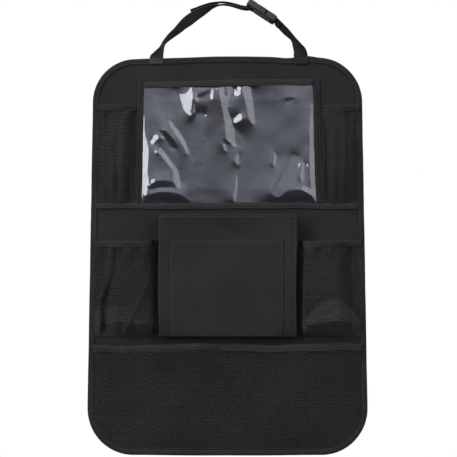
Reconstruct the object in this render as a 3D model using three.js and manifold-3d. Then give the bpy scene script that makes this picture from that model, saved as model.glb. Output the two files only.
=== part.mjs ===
// Car seat back organizer: a bound cloth panel that hangs from a headrest by a buckled webbing
// strap, with a clear tablet pocket, net side pockets, a bellows pocket and a divided net pocket.
// Millimetres, +Z up. The rear face lies at y = 0, the front looks along -Y, and the origin is
// the middle of the rear face.
import * as THREE from 'three';
import { mergeVertices } from 'three/addons/utils/BufferGeometryUtils.js';
import Module from 'manifold-3d';

const wasm = await Module();
wasm.setup();

// Back panel and the binding sewn round its edge
const PANEL_HEIGHT = 570;
const PANEL_TOP = PANEL_HEIGHT / 2;
const PANEL_TOP_WIDTH = 382;
const PANEL_BOTTOM_WIDTH = 402;
const TOP_CORNER_RADIUS = 60;
const BOTTOM_CORNER_RADIUS = 66;
const TOP_BOW = 5;
const BOTTOM_BOW = 2;
const PANEL_THICKNESS = 3;
const PRESSED_EDGE = 1;
const BINDING_WIDTH = 8.5;
const BINDING_ROUNDING = 0.6;

// Cloth, tape and the clearance that sewn layers keep
const CLOTH = 0.8;
const TAPE = 0.7;
const SEAM_GAP = 0.3;
const SEWN_EDGE = 3;

// Tablet window, the tapes round it and the band below it. Mouths and seams hang from the panel's
// top edge, so a taller panel only gets a taller net at the bottom.
const WINDOW_CENTRE = 1.5;
const WINDOW_WIDTH = 245;
const WINDOW_TOP = PANEL_TOP - 35;
const WINDOW_HEM = 8.5;
const WINDOW_SLACK = 9;
const STRIP_WIDTH = 10;
const STRIP_RISE = 3;
const BAND_TOP = PANEL_TOP - 209.5;
const BAND_HEIGHT = 8.5;

// Net pockets
const UPPER_MOUTH = PANEL_TOP - 70;
const UPPER_HEM = 8.5;
const UPPER_SLACK = 14;
const MIDDLE_MOUTH = PANEL_TOP - 262;
const MIDDLE_HEM = 10;
const MIDDLE_SLACK = 26;
const MIDDLE_SEAM = PANEL_TOP - 400;
const MIDDLE_PLEATS = 5;
const PLEAT_DEPTH = 0.16;
const LOWER_MOUTH = MIDDLE_SEAM - 10.5;
const LOWER_HEM = 10;
const LOWER_SLACK = 16;
const DIVIDER = 1;

// Bellows pocket in the middle and the patch pocket on its front
const BELLOWS_CENTRE = 0;
const BELLOWS_BASE = 208;
const BELLOWS_FRONT = 196;
const BELLOWS_TOP = PANEL_TOP - 225;
const BELLOWS_MOUTH_DEPTH = 21;
const BELLOWS_SEAM_DEPTH = 15;
const BELLOWS_MOUTH_SLACK = 4;
const PLEAT_INSET = 12.5;
const GUSSET_TURNING = 8;
const GUSSET_DROP = 3;
const FRONT_HEM = 12;
const PATCH_CENTRE = -1.5;
const PATCH_WIDTH = 161;
const PATCH_MOUTH = MIDDLE_MOUTH;
const PATCH_SLACK = 7;

// Headrest strap
const WEBBING_WIDTH = 20;
const WEBBING = 1.2;
const STRAP_LAP = 13;
const STRAP_BEND = 1;
const TAIL_GAP = 0.6;
const TAIL_SLACK = 2.4;

// Side-release buckle, in its own frame: U runs from the mouth of the socket to its webbing bar,
// V across the webbing and N out of the upper face
const BUCKLE_RISE = 67.4;
const BUCKLE_PLACE = new THREE.Vector3(40.2, -10, PANEL_TOP + BUCKLE_RISE);
const BUCKLE_SLOPE = 33;
const BUCKLE_TWIST = 83;
const BUCKLE_WIDTH = 29;
const BUCKLE_THICKNESS = 9;
const BUCKLE_WALL = 1.6;
const SOCKET_LENGTH = 33;
const SOCKET_CAVITY = 23;
const WINDOW_START = 7;
const WINDOW_LENGTH = 10;
const SOCKET_SLOT = 4.5;
const BAR = 2.5;
const BAR_HEIGHT = 3.6;
const PLUG_LENGTH = 14;
const PLUG_SHOULDER = 2.2;
const LADDER_SLOT = 3;
const SLOT_SIDE_GAP = 0.8;
const PRONG_LENGTH = 18;
const PRONG_THICKNESS = 2.2;
const PRONG_PLAY = 0.5;
const GUIDE_WIDTH = 4;
const GUIDE_LENGTH = 13;
const GRIP_HEIGHT = 0.8;

const COLOURS = {
  panel: 0x2a2a2c,
  binding: 0x252526,
  tape: 0x2f2f2f,
  net: 0x252527,
  film: 0x55555f,
  webbing: 0x1f1f20,
  plastic: 0x1b1b1c,
};

const panelFront = -PANEL_THICKNESS;
const foldedTape = SEAM_GAP + TAPE;
const clamp = THREE.MathUtils.clamp;
const lerp = THREE.MathUtils.lerp;
const smooth = THREE.MathUtils.smoothstep;

// Turns points and triangles into a closed skin whose faces look outwards.
function skin(points, faces) {
  let volume = 0;
  for (let i = 0; i < faces.length; i += 3) {
    const [a, b, c] = [faces[i], faces[i + 1], faces[i + 2]].map((k) => points[k]);
    volume += a.dot(b.clone().cross(c));
  }
  const order = volume < 0 ? faces.slice().reverse() : faces;
  const positions = points.flatMap((p) => p.toArray());
  const geometry = new THREE.BufferGeometry();
  geometry.setAttribute('position', new THREE.Float32BufferAttribute(positions, 3));
  geometry.setIndex(order);
  return geometry;
}

// Triangles that close one ring of a loft; they follow the ring's own direction.
function capFaces(ring) {
  const normal = new THREE.Vector3();
  ring.forEach((p, i) => {
    normal.add(p.clone().cross(ring[(i + 1) % ring.length]));
  });
  const axis = ['x', 'y', 'z'].sort((a, b) => Math.abs(normal[b]) - Math.abs(normal[a]))[0];
  const [s, t] = { x: ['y', 'z'], y: ['x', 'z'], z: ['x', 'y'] }[axis];
  const flat = ring.map((p) => new THREE.Vector2(p[s], p[t]));
  const faces = THREE.ShapeUtils.triangulateShape(flat, []).flat();
  const [a, b, c] = faces.slice(0, 3).map((k) => flat[k]);
  const turn = Math.sign(b.clone().sub(a).cross(c.clone().sub(a)));
  return turn === Math.sign(THREE.ShapeUtils.area(flat)) ? faces : faces.reverse();
}

// Joins rings of points into a skin: an endless one when closed, and otherwise capped at its ends.
// A flat cloth's ring runs out along its back and home along its front, and is capped as a strip.
function loft(rings, { closed = false, strip = false } = {}) {
  const size = rings[0].length;
  const spans = closed ? rings.length : rings.length - 1;
  const faces = [];
  for (let i = 0; i < spans; i++) {
    const here = i * size;
    const there = ((i + 1) % rings.length) * size;
    for (let j = 0; j < size; j++) {
      const k = (j + 1) % size;
      faces.push(here + j, here + k, there + k, here + j, there + k, there + j);
    }
  }
  if (!closed) {
    const last = (rings.length - 1) * size;
    if (strip) {
      for (let j = 0; j < size / 2 - 1; j++) {
        const [a, b, c, d] = [j, j + 1, size - 2 - j, size - 1 - j];
        faces.push(b, a, c, c, a, d);
        faces.push(last + a, last + b, last + c, last + a, last + c, last + d);
      }
    } else {
      faces.push(...capFaces(rings[0]).reverse());
      faces.push(...capFaces(rings.at(-1)).map((k) => last + k));
    }
  }
  return skin(rings.flat(), faces);
}

// A cloth wall of the given thickness in front of a grid of points, with the grid's normals.
function cloth(grid, thickness = () => CLOTH) {
  const at = (j, i) => grid[clamp(j, 0, grid.length - 1)][clamp(i, 0, grid[0].length - 1)];
  const normals = grid.map((row, j) => row.map((_, i) => {
    const along = at(j, i + 1).clone().sub(at(j, i - 1));
    const up = at(j + 1, i).clone().sub(at(j - 1, i));
    return along.cross(up).normalize();
  }));
  const rings = grid.map((row, j) => {
    const front = row.map((p, i) => p.clone().addScaledVector(normals[j][i], thickness(j)));
    return [...row, ...front.reverse()];
  });
  const mouth = grid.at(-1).map((point, i) => ({ point, out: normals.at(-1)[i] }));
  return { geometry: loft(rings, { strip: true }), mouth };
}

// The panel's outline is drawn as an upright rounded rectangle and then tapered and bowed.
const flatHalfHeight = PANEL_HEIGHT / 2 - TOP_BOW;
const flatFloor = -PANEL_HEIGHT / 2 + BOTTOM_BOW;
const flatHalfWidth = PANEL_BOTTOM_WIDTH / 2;

function taper(z) {
  return lerp(1, PANEL_TOP_WIDTH / PANEL_BOTTOM_WIDTH, z / PANEL_HEIGHT + 0.5);
}

function shaped(x, z) {
  const height = (Math.abs(z) / (PANEL_HEIGHT / 2)) ** 6;
  const bow = z > 0 ? TOP_BOW : -BOTTOM_BOW;
  return new THREE.Vector2(x * taper(z), z + bow * height * (1 - (x / flatHalfWidth) ** 2));
}

// The panel's outline, drawn in from the edge by an inset.
function outline(inset) {
  const halfWidth = flatHalfWidth - inset;
  const cornerSteps = 8;
  const edgeSteps = 8;
  const corners = [
    { x: -1, z: 1, from: Math.PI, radius: TOP_CORNER_RADIUS - inset },
    { x: 1, z: 1, from: Math.PI / 2, radius: TOP_CORNER_RADIUS - inset },
    { x: 1, z: -1, from: 0, radius: BOTTOM_CORNER_RADIUS - inset },
    { x: -1, z: -1, from: -Math.PI / 2, radius: BOTTOM_CORNER_RADIUS - inset },
  ];
  const points = [];
  for (const { x, z, from, radius } of corners) {
    const edge = z > 0 ? flatHalfHeight - inset : flatFloor + inset;
    for (let i = 0; i <= cornerSteps; i++) {
      const angle = from - (Math.PI / 2) * (i / cornerSteps);
      const across = x * (halfWidth - radius) + radius * Math.cos(angle);
      points.push(new THREE.Vector2(across, edge - z * radius + radius * Math.sin(angle)));
    }
    if (x * z < 0) {
      const end = points.at(-1).x;
      for (let i = 1; i < edgeSteps; i++) {
        points.push(new THREE.Vector2(lerp(end, -end, i / edgeSteps), edge));
      }
    }
  }
  return points.map((p) => shaped(p.x, p.y));
}

// How far a piece may reach sideways before it meets the binding, on the straight sides.
function bindingEdge(z) {
  return (flatHalfWidth - BINDING_WIDTH - SEAM_GAP) * taper(z);
}

function ringAt(inset, y) {
  return outline(inset).map((p) => new THREE.Vector3(p.x, y, p.y));
}

// The panel's edge is pressed thin where the binding wraps it.
function backPanel() {
  const edge = TAPE + SEAM_GAP;
  const tuck = (PANEL_THICKNESS - PRESSED_EDGE) / 2;
  const under = BINDING_WIDTH + SEAM_GAP;
  return loft([
    ringAt(under, 0),
    ringAt(under, -tuck),
    ringAt(edge, -tuck),
    ringAt(edge, tuck - PANEL_THICKNESS),
    ringAt(under, tuck - PANEL_THICKNESS),
    ringAt(under, -PANEL_THICKNESS),
  ]);
}

// A folded tape round the whole edge, its two legs flush with the panel's faces.
function edgeBinding() {
  const tongue = (PANEL_THICKNESS - PRESSED_EDGE) / 2 - SEAM_GAP;
  const section = [
    [BINDING_WIDTH, 0],
    [BINDING_ROUNDING, 0],
    [0, -BINDING_ROUNDING],
    [0, BINDING_ROUNDING - PANEL_THICKNESS],
    [BINDING_ROUNDING, -PANEL_THICKNESS],
    [BINDING_WIDTH, -PANEL_THICKNESS],
    [BINDING_WIDTH, tongue - PANEL_THICKNESS],
    [TAPE, tongue - PANEL_THICKNESS],
    [TAPE, -tongue],
    [BINDING_WIDTH, -tongue],
  ];
  const lines = section.map(([inset, y]) => ringAt(inset, y));
  return loft(lines[0].map((_, i) => lines.map((line) => line[i])), { closed: true });
}

// Depths here count outwards from the panel's front face.
function inFront(x, depth, z) {
  return new THREE.Vector3(x, panelFront - depth, z);
}

// Rows of a pocket wall from its seam to its mouth: sewn flat, swelling out along a curve, and
// straight under the hem, where the wall stands off the panel to leave room for the hem's rear leg.
function pocketRows(seam, mouth, hem, bulge, steps, sewn = SEWN_EDGE) {
  const start = seam + sewn;
  const neck = mouth - hem - 2;
  const curve = new THREE.SplineCurve(bulge.map(([depth, share]) => (
    new THREE.Vector2(depth, lerp(start, neck, share))
  )));
  const rows = curve.getPoints(steps).map((p) => {
    const raise = foldedTape * smooth(p.y, neck - 2 * hem, neck);
    return { depth: Math.max(p.x, 0), z: p.y, raise };
  });
  const lip = { depth: rows.at(-1).depth, z: mouth - foldedTape, raise: foldedTape };
  return [{ depth: 0, z: seam, raise: 0 }, ...rows, lip];
}

// Columns across a wall, closer together at its sewn edges.
function columnsAcross(width, steps) {
  const sewn = SEWN_EDGE / width;
  const inner = Array.from({ length: steps + 1 }, (_, i) => {
    const even = i / steps;
    const close = (1 - Math.cos(Math.PI * even)) / 2;
    return lerp(sewn, 1 - sewn, (even + close) / 2);
  });
  return [0, ...inner, 1];
}

// How fully a wall stands out at a distance from its nearest sewn edge.
function swell(distance, reach) {
  return Math.sin((Math.PI / 2) * clamp((distance - SEWN_EDGE) / reach, 0, 1)) ** 1.4;
}

function netWall({ rows, left, right, reach, steps, fold = () => 0 }) {
  const columns = columnsAcross(right(rows[0].z) - left(rows[0].z), steps);
  const floor = rows[0].z;
  const neck = rows.at(-2).z;
  const grid = rows.map(({ depth, z, raise }) => columns.map((u) => {
    const x = lerp(left(z), right(z), u);
    const free = Math.min(x - left(z), right(z) - x);
    const share = clamp((z - floor) / (neck - floor), 0, 1);
    const out = depth * swell(free, reach) * (1 + fold(u, share));
    return inFront(x, SEAM_GAP + raise + out, z);
  }));
  return cloth(grid);
}

// A tape folded over a mouth: a channel that straddles the wall's free edge.
function foldedHem(mouth, height) {
  const back = -foldedTape;
  const front = CLOTH + foldedTape;
  const foot = height - foldedTape;
  const section = [
    [back, foot],
    [back, -foldedTape],
    [front, -foldedTape],
    [front, foot],
    [CLOTH + SEAM_GAP, foot],
    [CLOTH + SEAM_GAP, -SEAM_GAP],
    [-SEAM_GAP, -SEAM_GAP],
    [-SEAM_GAP, foot],
  ];
  return loft(mouth.map(({ point, out }) => section.map(([away, down]) => (
    point.clone().addScaledVector(out, away).add(new THREE.Vector3(0, 0, -down))
  ))));
}

const windowLeft = WINDOW_CENTRE - WINDOW_WIDTH / 2;
const windowRight = WINDOW_CENTRE + WINDOW_WIDTH / 2;
const stripLap = STRIP_WIDTH / 2;
const bandLap = BAND_HEIGHT / 2;
const lapFloor = BAND_TOP - bandLap + SEAM_GAP;

// The clear film runs under the side tapes and the band, and narrows between the tapes at its hem.
function windowFilm() {
  const neck = WINDOW_TOP - WINDOW_HEM - 2;
  const settle = 4;
  const bulge = [[0, 0], [WINDOW_SLACK * 0.7, 0.25], [WINDOW_SLACK, 0.6], [WINDOW_SLACK * 0.8, 1]];
  const rows = pocketRows(lapFloor, neck - 2 * settle, 0, bulge, 7, bandLap + 1).slice(0, -1)
    .map((row) => ({ ...row, raise: 0, lap: stripLap - SEAM_GAP }));
  const lip = rows.at(-1).depth;
  rows.push({ depth: lip, z: neck - settle, raise: 0, lap: -SEAM_GAP });
  rows.push({ depth: lip, z: neck, raise: foldedTape, lap: -SEAM_GAP });
  rows.push({ depth: lip, z: WINDOW_TOP - foldedTape, raise: foldedTape, lap: -SEAM_GAP });
  const columns = columnsAcross(WINDOW_WIDTH, 11);
  const grid = rows.map(({ depth, z, raise, lap }) => {
    const reach = WINDOW_WIDTH + 2 * lap;
    return columns.map((u) => {
      const x = windowLeft - lap + reach * u;
      const free = Math.min(x - windowLeft, windowRight - x);
      return inFront(x, SEAM_GAP + raise + depth * swell(free, WINDOW_WIDTH / 2), z);
    });
  });
  return cloth(grid);
}

// A side tape: its inner half laps over the film's edge and its outer half reaches the panel.
function windowStrip(side) {
  const inner = side < 0 ? windowLeft : windowRight;
  const split = inner + side * stripLap;
  const outer = inner + side * STRIP_WIDTH;
  const over = SEAM_GAP + CLOTH + SEAM_GAP;
  const face = over + TAPE;
  const section = [
    [outer, SEAM_GAP],
    [split, SEAM_GAP],
    [split, over],
    [inner, over],
    [inner, face],
    [outer, face],
  ];
  const ends = [BAND_TOP + SEAM_GAP, WINDOW_TOP + STRIP_RISE];
  return loft(ends.map((z) => section.map(([x, depth]) => inFront(x, depth, z))));
}

// The band across the panel: its upper half laps over the film and the upper nets.
function crossBand() {
  const floor = BAND_TOP - BAND_HEIGHT;
  const split = BAND_TOP - bandLap;
  const over = SEAM_GAP + CLOTH + SEAM_GAP;
  const face = over + TAPE;
  const section = [
    [floor, SEAM_GAP],
    [split, SEAM_GAP],
    [split, over],
    [BAND_TOP, over],
    [BAND_TOP, face],
    [floor, face],
  ];
  const reach = bindingEdge(BAND_TOP);
  return loft([-reach, reach].map((x) => section.map(([z, depth]) => inFront(x, depth, z))));
}

function upperNet(side) {
  const stripEdge = side < 0 ? windowLeft - STRIP_WIDTH : windowRight + STRIP_WIDTH;
  const bulge = [[0, 0], [UPPER_SLACK * 0.8, 0.2], [UPPER_SLACK, 0.55], [UPPER_SLACK * 0.8, 1]];
  const rows = pocketRows(lapFloor, UPPER_MOUTH, UPPER_HEM, bulge, 8, bandLap + 1);
  const fold = (u, v) => -0.22 * (1 - Math.abs(2 * v - 1)) * Math.cos(4 * Math.PI * u);
  return netWall({
    rows,
    fold,
    left: (z) => (side < 0 ? -bindingEdge(z) : stripEdge + SEAM_GAP),
    right: (z) => (side < 0 ? stripEdge - SEAM_GAP : bindingEdge(z)),
    reach: 16,
    steps: 8,
  });
}

// The middle nets are gathered at the seam, so they bag out low down and fold in pleats.
function middleNet(side) {
  const base = BELLOWS_CENTRE + (side * BELLOWS_BASE) / 2;
  const bulge = [
    [0, 0],
    [MIDDLE_SLACK * 0.62, 0.05],
    [MIDDLE_SLACK, 0.17],
    [MIDDLE_SLACK * 0.9, 0.45],
    [MIDDLE_SLACK * 0.66, 1],
  ];
  const rows = pocketRows(MIDDLE_SEAM, MIDDLE_MOUTH, MIDDLE_HEM, bulge, 12);
  const fold = (u, v) => {
    const low = 1 - smooth(v, 0.1, 0.75);
    const high = smooth(v, 0.6, 0.95) * (1 - smooth(v, 0.9, 1));
    return -PLEAT_DEPTH * (low + high) * (1 - Math.cos(2 * Math.PI * MIDDLE_PLEATS * u)) / 2;
  };
  return netWall({
    rows,
    fold,
    left: (z) => (side < 0 ? -bindingEdge(z) : base + SEAM_GAP),
    right: (z) => (side < 0 ? base - SEAM_GAP : bindingEdge(z)),
    reach: 22,
    steps: 2 * MIDDLE_PLEATS + 2,
  });
}

// The bottom net follows the binding round both corners and is sewn down along its middle.
function lowerNet() {
  const edge = BINDING_WIDTH + SEAM_GAP;
  const radius = BOTTOM_CORNER_RADIUS - edge;
  const floor = flatFloor + edge;
  const halfWidth = (z) => {
    const below = clamp(floor + radius - z, 0, radius);
    return flatHalfWidth - edge - radius + Math.sqrt(radius ** 2 - below ** 2);
  };
  const bulge = [[0, 0], [LOWER_SLACK * 0.55, 0.18], [LOWER_SLACK, 0.6], [LOWER_SLACK * 0.85, 1]];
  const rows = pocketRows(floor, LOWER_MOUTH, LOWER_HEM, bulge, 9);
  const half = columnsAcross(flatHalfWidth, 10);
  const columns = [...half.map((u) => u - 1), ...half.slice(1)];
  const grid = rows.map(({ depth, z, raise }) => columns.map((u) => {
    const x = u * halfWidth(z);
    const free = Math.min(Math.abs(x) - DIVIDER, halfWidth(z) - Math.abs(x));
    const place = shaped(x, z);
    return inFront(place.x, SEAM_GAP + raise + depth * swell(free, halfWidth(z) / 2), place.y);
  }));
  return cloth(grid);
}

// Both edges of a folded strip of cloth whose middle line is given, as one closed section. The
// outside of a fold is squared off and its inside is mitred.
function foldedSection(line, thickness) {
  const half = thickness / 2;
  const heading = line.slice(1).map((p, i) => p.clone().sub(line[i]).normalize());
  const left = [];
  const right = [];
  line.forEach((p, i) => {
    const into = heading[Math.max(i - 1, 0)];
    const out = heading[Math.min(i, heading.length - 1)];
    const [a, b] = [into, out].map((d) => new THREE.Vector2(-d.y, d.x));
    const mitre = a.clone().add(b).multiplyScalar(half / (1 + a.dot(b)));
    const turn = into.cross(out);
    const squared = [a, b].map((n) => n.clone().multiplyScalar(half));
    const isEnd = i === 0 || i === line.length - 1;
    const leftSide = !isEnd && turn < 0 ? squared : [mitre];
    const rightSide = !isEnd && turn > 0 ? squared : [mitre];
    leftSide.forEach((offset) => left.push(p.clone().add(offset)));
    rightSide.forEach((offset) => right.push(p.clone().sub(offset)));
  });
  return [...left, ...right.reverse()];
}

function bellowsDepth(z) {
  const share = clamp((z - MIDDLE_SEAM) / (BELLOWS_TOP - MIDDLE_SEAM), 0, 1);
  return lerp(BELLOWS_SEAM_DEPTH, BELLOWS_MOUTH_DEPTH, share);
}

// The gusset is one strip pleated like a bellows. It is sewn to the panel and to the front down
// both sides and along the bottom, with mitred corners.
function bellowsGusset() {
  const onPanel = SEAM_GAP + CLOTH / 2;
  const frontInset = (BELLOWS_BASE - BELLOWS_FRONT) / 2;
  const section = (inset, pleat, depth) => foldedSection([
    new THREE.Vector2(GUSSET_TURNING, onPanel),
    new THREE.Vector2(CLOTH / 2, onPanel),
    new THREE.Vector2(pleat, (onPanel + depth) / 2),
    new THREE.Vector2(inset + CLOTH / 2, depth),
    new THREE.Vector2(inset + GUSSET_TURNING, depth),
  ], CLOTH);
  const top = BELLOWS_TOP - GUSSET_DROP;
  const sideTop = section(frontInset, PLEAT_INSET, bellowsDepth(top));
  const sideFoot = section(frontInset, PLEAT_INSET, bellowsDepth(MIDDLE_SEAM));
  const bottom = section(0, PLEAT_INSET - frontInset, bellowsDepth(MIDDLE_SEAM));
  const left = BELLOWS_CENTRE - BELLOWS_BASE / 2;
  const right = BELLOWS_CENTRE + BELLOWS_BASE / 2;
  const corner = sideFoot.map((p, i) => {
    const depth = (p.y + bottom[i].y) / 2;
    return { across: p.x, up: bottom[i].x, depth };
  });
  return loft([
    sideTop.map((p) => inFront(left + p.x, p.y, top)),
    corner.map((p) => inFront(left + p.across, p.depth, MIDDLE_SEAM + p.up)),
    corner.map((p) => inFront(right - p.across, p.depth, MIDDLE_SEAM + p.up)),
    sideTop.map((p) => inFront(right - p.x, p.y, top)),
  ]);
}

const frontLeft = BELLOWS_CENTRE - BELLOWS_FRONT / 2;

// The back of the bellows pocket's front: flat over the patch pocket, slack at the mouth.
function frontDepth(x, z) {
  const share = clamp((x - frontLeft) / BELLOWS_FRONT, 0, 1);
  const slack = BELLOWS_MOUTH_SLACK * Math.sin(Math.PI * share) ** 2;
  const open = smooth(z, PATCH_MOUTH + SEWN_EDGE, BELLOWS_TOP);
  return bellowsDepth(z) + CLOTH / 2 + SEAM_GAP + slack * open;
}

function bellowsFront() {
  const levels = [MIDDLE_SEAM, lerp(MIDDLE_SEAM, PATCH_MOUTH, 0.5), PATCH_MOUTH + SEWN_EDGE];
  const hemFoot = BELLOWS_TOP - FRONT_HEM;
  levels.push(lerp(levels.at(-1), hemFoot, 0.5), hemFoot - CLOTH, hemFoot, BELLOWS_TOP);
  const columns = 12;
  const grid = levels.map((z) => Array.from({ length: columns + 1 }, (_, i) => {
    const x = frontLeft + (BELLOWS_FRONT * i) / columns;
    return inFront(x, frontDepth(x, z), z);
  }));
  return cloth(grid, (j) => (levels[j] < hemFoot ? CLOTH : 2 * CLOTH)).geometry;
}

// A patch pocket sewn flat on the bellows pocket's front, with its mouth standing a little open.
function patchPocket() {
  const left = PATCH_CENTRE - PATCH_WIDTH / 2;
  const columns = columnsAcross(PATCH_WIDTH, 8);
  const hemFoot = 0.94;
  const shares = [0, 0.03, 0.3, 0.6, 0.85, hemFoot - 0.01, hemFoot, 1];
  const grid = shares.map((share) => {
    const z = lerp(MIDDLE_SEAM + CLOTH, PATCH_MOUTH, share);
    return columns.map((u) => {
      const open = PATCH_SLACK * smooth(share, 0.03, 0.9) * Math.sin(Math.PI * u) ** 1.2;
      const x = left + PATCH_WIDTH * u;
      return inFront(x, frontDepth(x, z) + CLOTH + SEAM_GAP + (u > 0 && u < 1 ? open : 0), z);
    });
  });
  return cloth(grid, (j) => (shares[j] < hemFoot ? CLOTH : 2 * CLOTH)).geometry;
}

// A flat ribbon through stations, each with its place and the direction across the webbing.
function ribbon(stations) {
  const heading = stations.slice(1).map(({ at }, i) => at.clone().sub(stations[i].at).normalize());
  return loft(stations.map(({ at, across }, i) => {
    const [before, after] = [heading[Math.max(i - 1, 0)], heading[Math.min(i, heading.length - 1)]];
    const [a, b] = [before, after].map((t) => t.clone().cross(across).normalize());
    const mitre = a.clone().add(b).multiplyScalar(WEBBING / 2 / (1 + a.dot(b)));
    const side = across.clone().multiplyScalar(WEBBING_WIDTH / 2);
    return [[1, 1], [-1, 1], [-1, -1], [1, -1]].map(([s, n]) => (
      at.clone().addScaledVector(side, s).addScaledVector(mitre, n)
    ));
  }));
}

// The direction across webbing that runs along a heading and is turned out of the panel's plane.
function acrossWebbing(heading, twist) {
  const turn = THREE.MathUtils.degToRad(twist);
  const level = new THREE.Vector3(heading.z, 0, -heading.x).normalize().multiplyScalar(Math.cos(turn));
  return level.add(new THREE.Vector3(0, Math.sin(turn), 0));
}

// Evenly spaced stations on a smooth route. Each of its rows holds x, y, the height over the top
// of the panel and the twist.
function stationsAlong(route, count) {
  const places = route.map(([x, y, rise]) => new THREE.Vector3(x, y, PANEL_TOP + rise));
  const path = new THREE.CatmullRomCurve3(places, false, 'centripetal');
  const bend = PANEL_TOP - STRAP_BEND;
  return Array.from({ length: count + 1 }, (_, i) => {
    const t = i / count;
    const row = Math.min(Math.floor(t * (route.length - 1)), route.length - 2);
    const twist = lerp(route[row][3], route[row + 1][3], t * (route.length - 1) - row);
    const at = path.getPoint(t);
    const heading = path.getTangent(t);
    const upright = new THREE.Vector3(0, 0, Math.sign(heading.z));
    heading.lerp(upright, 1 - smooth(at.z, bend, bend + WEBBING_WIDTH));
    return { at, across: acrossWebbing(heading, twist) };
  });
}

// The buckle's own frame
const slope = THREE.MathUtils.degToRad(BUCKLE_SLOPE);
const along = new THREE.Vector3(Math.cos(slope), 0, -Math.sin(slope));
const acrossBuckle = acrossWebbing(along, BUCKLE_TWIST);
const outOfBuckle = along.clone().cross(acrossBuckle);

function onBuckle(u, n) {
  return {
    at: BUCKLE_PLACE.clone().addScaledVector(along, u).addScaledVector(outOfBuckle, n),
    across: acrossBuckle,
  };
}

// A second layer lying on webbing stations, a chosen gap away.
function layerOn(stations, gapAt) {
  return stations.map(({ at, across }, i) => {
    const next = stations[Math.min(i + 1, stations.length - 1)].at;
    const last = stations[Math.max(i - 1, 0)].at;
    const out = next.clone().sub(last).normalize().cross(across);
    return { at: at.clone().addScaledVector(out, WEBBING + gapAt(i / (stations.length - 1))), across };
  });
}

const strapRest = panelFront - SEAM_GAP - WEBBING / 2;

// The sewn end of a webbing, flat on the front of the binding.
function strapFoot(station) {
  const at = station.at.clone().setZ(PANEL_TOP - STRAP_LAP);
  return { at, across: station.across };
}

const ladder = {
  shoulder: -PLUG_SHOULDER,
  nearSlot: -PLUG_SHOULDER - LADDER_SLOT / 2,
  farSlot: -PLUG_LENGTH + BAR + (PLUG_LENGTH - PLUG_SHOULDER - LADDER_SLOT - 2 * BAR) / 2,
};
const midBarTop = 0.6;
const midBarFloor = -2;
const endBarFloor = -1;

// The long webbing: sewn to the binding, twisted edge on, threaded up through the plug's ladder
// and back on itself as a loose tail.
function leftStrap() {
  const route = [
    [-101.2, strapRest, -STRAP_BEND, 0],
    [-98.3, strapRest - 1.6, 5.5, 36],
    [-93.9, -5.5, 11.5, 70],
    [-90.2, -6, 18, 78],
    [-81.5, -6.8, 27.5, 74],
    [-71.1, -7.6, 35.6, 67],
    [-63.6, -8.2, 43.2, 58],
    [-56, -8.7, 49.3, 46],
    [-48, -9.2, 55.2, 50],
    [-40.4, -9.5, 60, 56],
    [-32, -9.7, 64.6, 62],
    [-22.4, -9.9, 69.2, 68],
    [-12.1, -10, 72.4, 75],
    [-3.6, -10, 72.8, 80],
    [7.4, -10, 70.6, BUCKLE_TWIST],
    [18.2, -10, 67.6, BUCKLE_TWIST],
    [26.5, -10, 66.1, BUCKLE_TWIST],
  ];
  const main = stationsAlong(route, 44);
  const tailStart = 22;
  const slack = (t) => TAIL_SLACK * Math.sin(Math.PI * (0.9 - 0.8 * t)) ** 2;
  const tail = layerOn(main.slice(tailStart), (t) => TAIL_GAP + slack(t));
  const overBar = midBarTop + SEAM_GAP + WEBBING / 2;
  return ribbon([
    strapFoot(main[0]),
    ...main,
    onBuckle(ladder.nearSlot, -BUCKLE_THICKNESS / 2 - WEBBING / 2),
    onBuckle(ladder.nearSlot, overBar),
    onBuckle(ladder.farSlot, overBar),
    onBuckle(ladder.farSlot, -BUCKLE_THICKNESS / 2 + WEBBING),
    ...tail.reverse(),
  ]);
}

// The short webbing: looped round the socket's bar, sewn back on itself, and twisted down to the
// binding.
function rightStrap() {
  const barEnd = onBuckle(SOCKET_LENGTH + 3, SEAM_GAP + WEBBING / 2).at;
  const route = [
    [barEnd.x, barEnd.y, barEnd.z - PANEL_TOP, BUCKLE_TWIST - 4],
    [77.6, -9.8, 41, 66],
    [85.4, -9, 32.6, 65],
    [93.2, -8, 24.2, 69],
    [97.6, -6.8, 17.6, 62],
    [100.8, -5.6, 11.4, 45],
    [103.3, strapRest - 1.6, 5.5, 22],
    [104.5, strapRest, -STRAP_BEND, 0],
  ];
  const main = stationsAlong(route, 26);
  const tailStations = 7;
  const tail = layerOn(main.slice(0, tailStations), () => -2 * WEBBING - SEAM_GAP);
  const slot = SOCKET_LENGTH - BAR - SOCKET_SLOT / 2;
  const off = BAR_HEIGHT / 2 + SEAM_GAP + WEBBING / 2;
  return ribbon([
    ...tail.reverse(),
    onBuckle(SOCKET_LENGTH, -off),
    onBuckle(slot, -off),
    onBuckle(slot, off),
    onBuckle(SOCKET_LENGTH, off),
    ...main,
    strapFoot(main.at(-1)),
  ]);
}

// Cutting and joining solids
function toSolid(geometry) {
  const bare = geometry.clone();
  bare.deleteAttribute('normal');
  bare.deleteAttribute('uv');
  const merged = mergeVertices(bare, 1e-4);
  return new wasm.Manifold(new wasm.Mesh({
    numProp: 3,
    vertProperties: merged.attributes.position.array,
    triVerts: Uint32Array.from(merged.index.array),
  }));
}

function toGeometry(solid) {
  const mesh = solid.getMesh();
  const geometry = new THREE.BufferGeometry();
  geometry.setAttribute('position', new THREE.Float32BufferAttribute(mesh.vertProperties, 3));
  geometry.setIndex(Array.from(mesh.triVerts));
  return geometry;
}

// A box between two corners in the buckle's frame.
function block(u0, u1, v0, v1, n0, n1) {
  const box = new THREE.BoxGeometry(u1 - u0, v1 - v0, n1 - n0);
  return toSolid(box.translate((u0 + u1) / 2, (v0 + v1) / 2, (n0 + n1) / 2));
}

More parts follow.
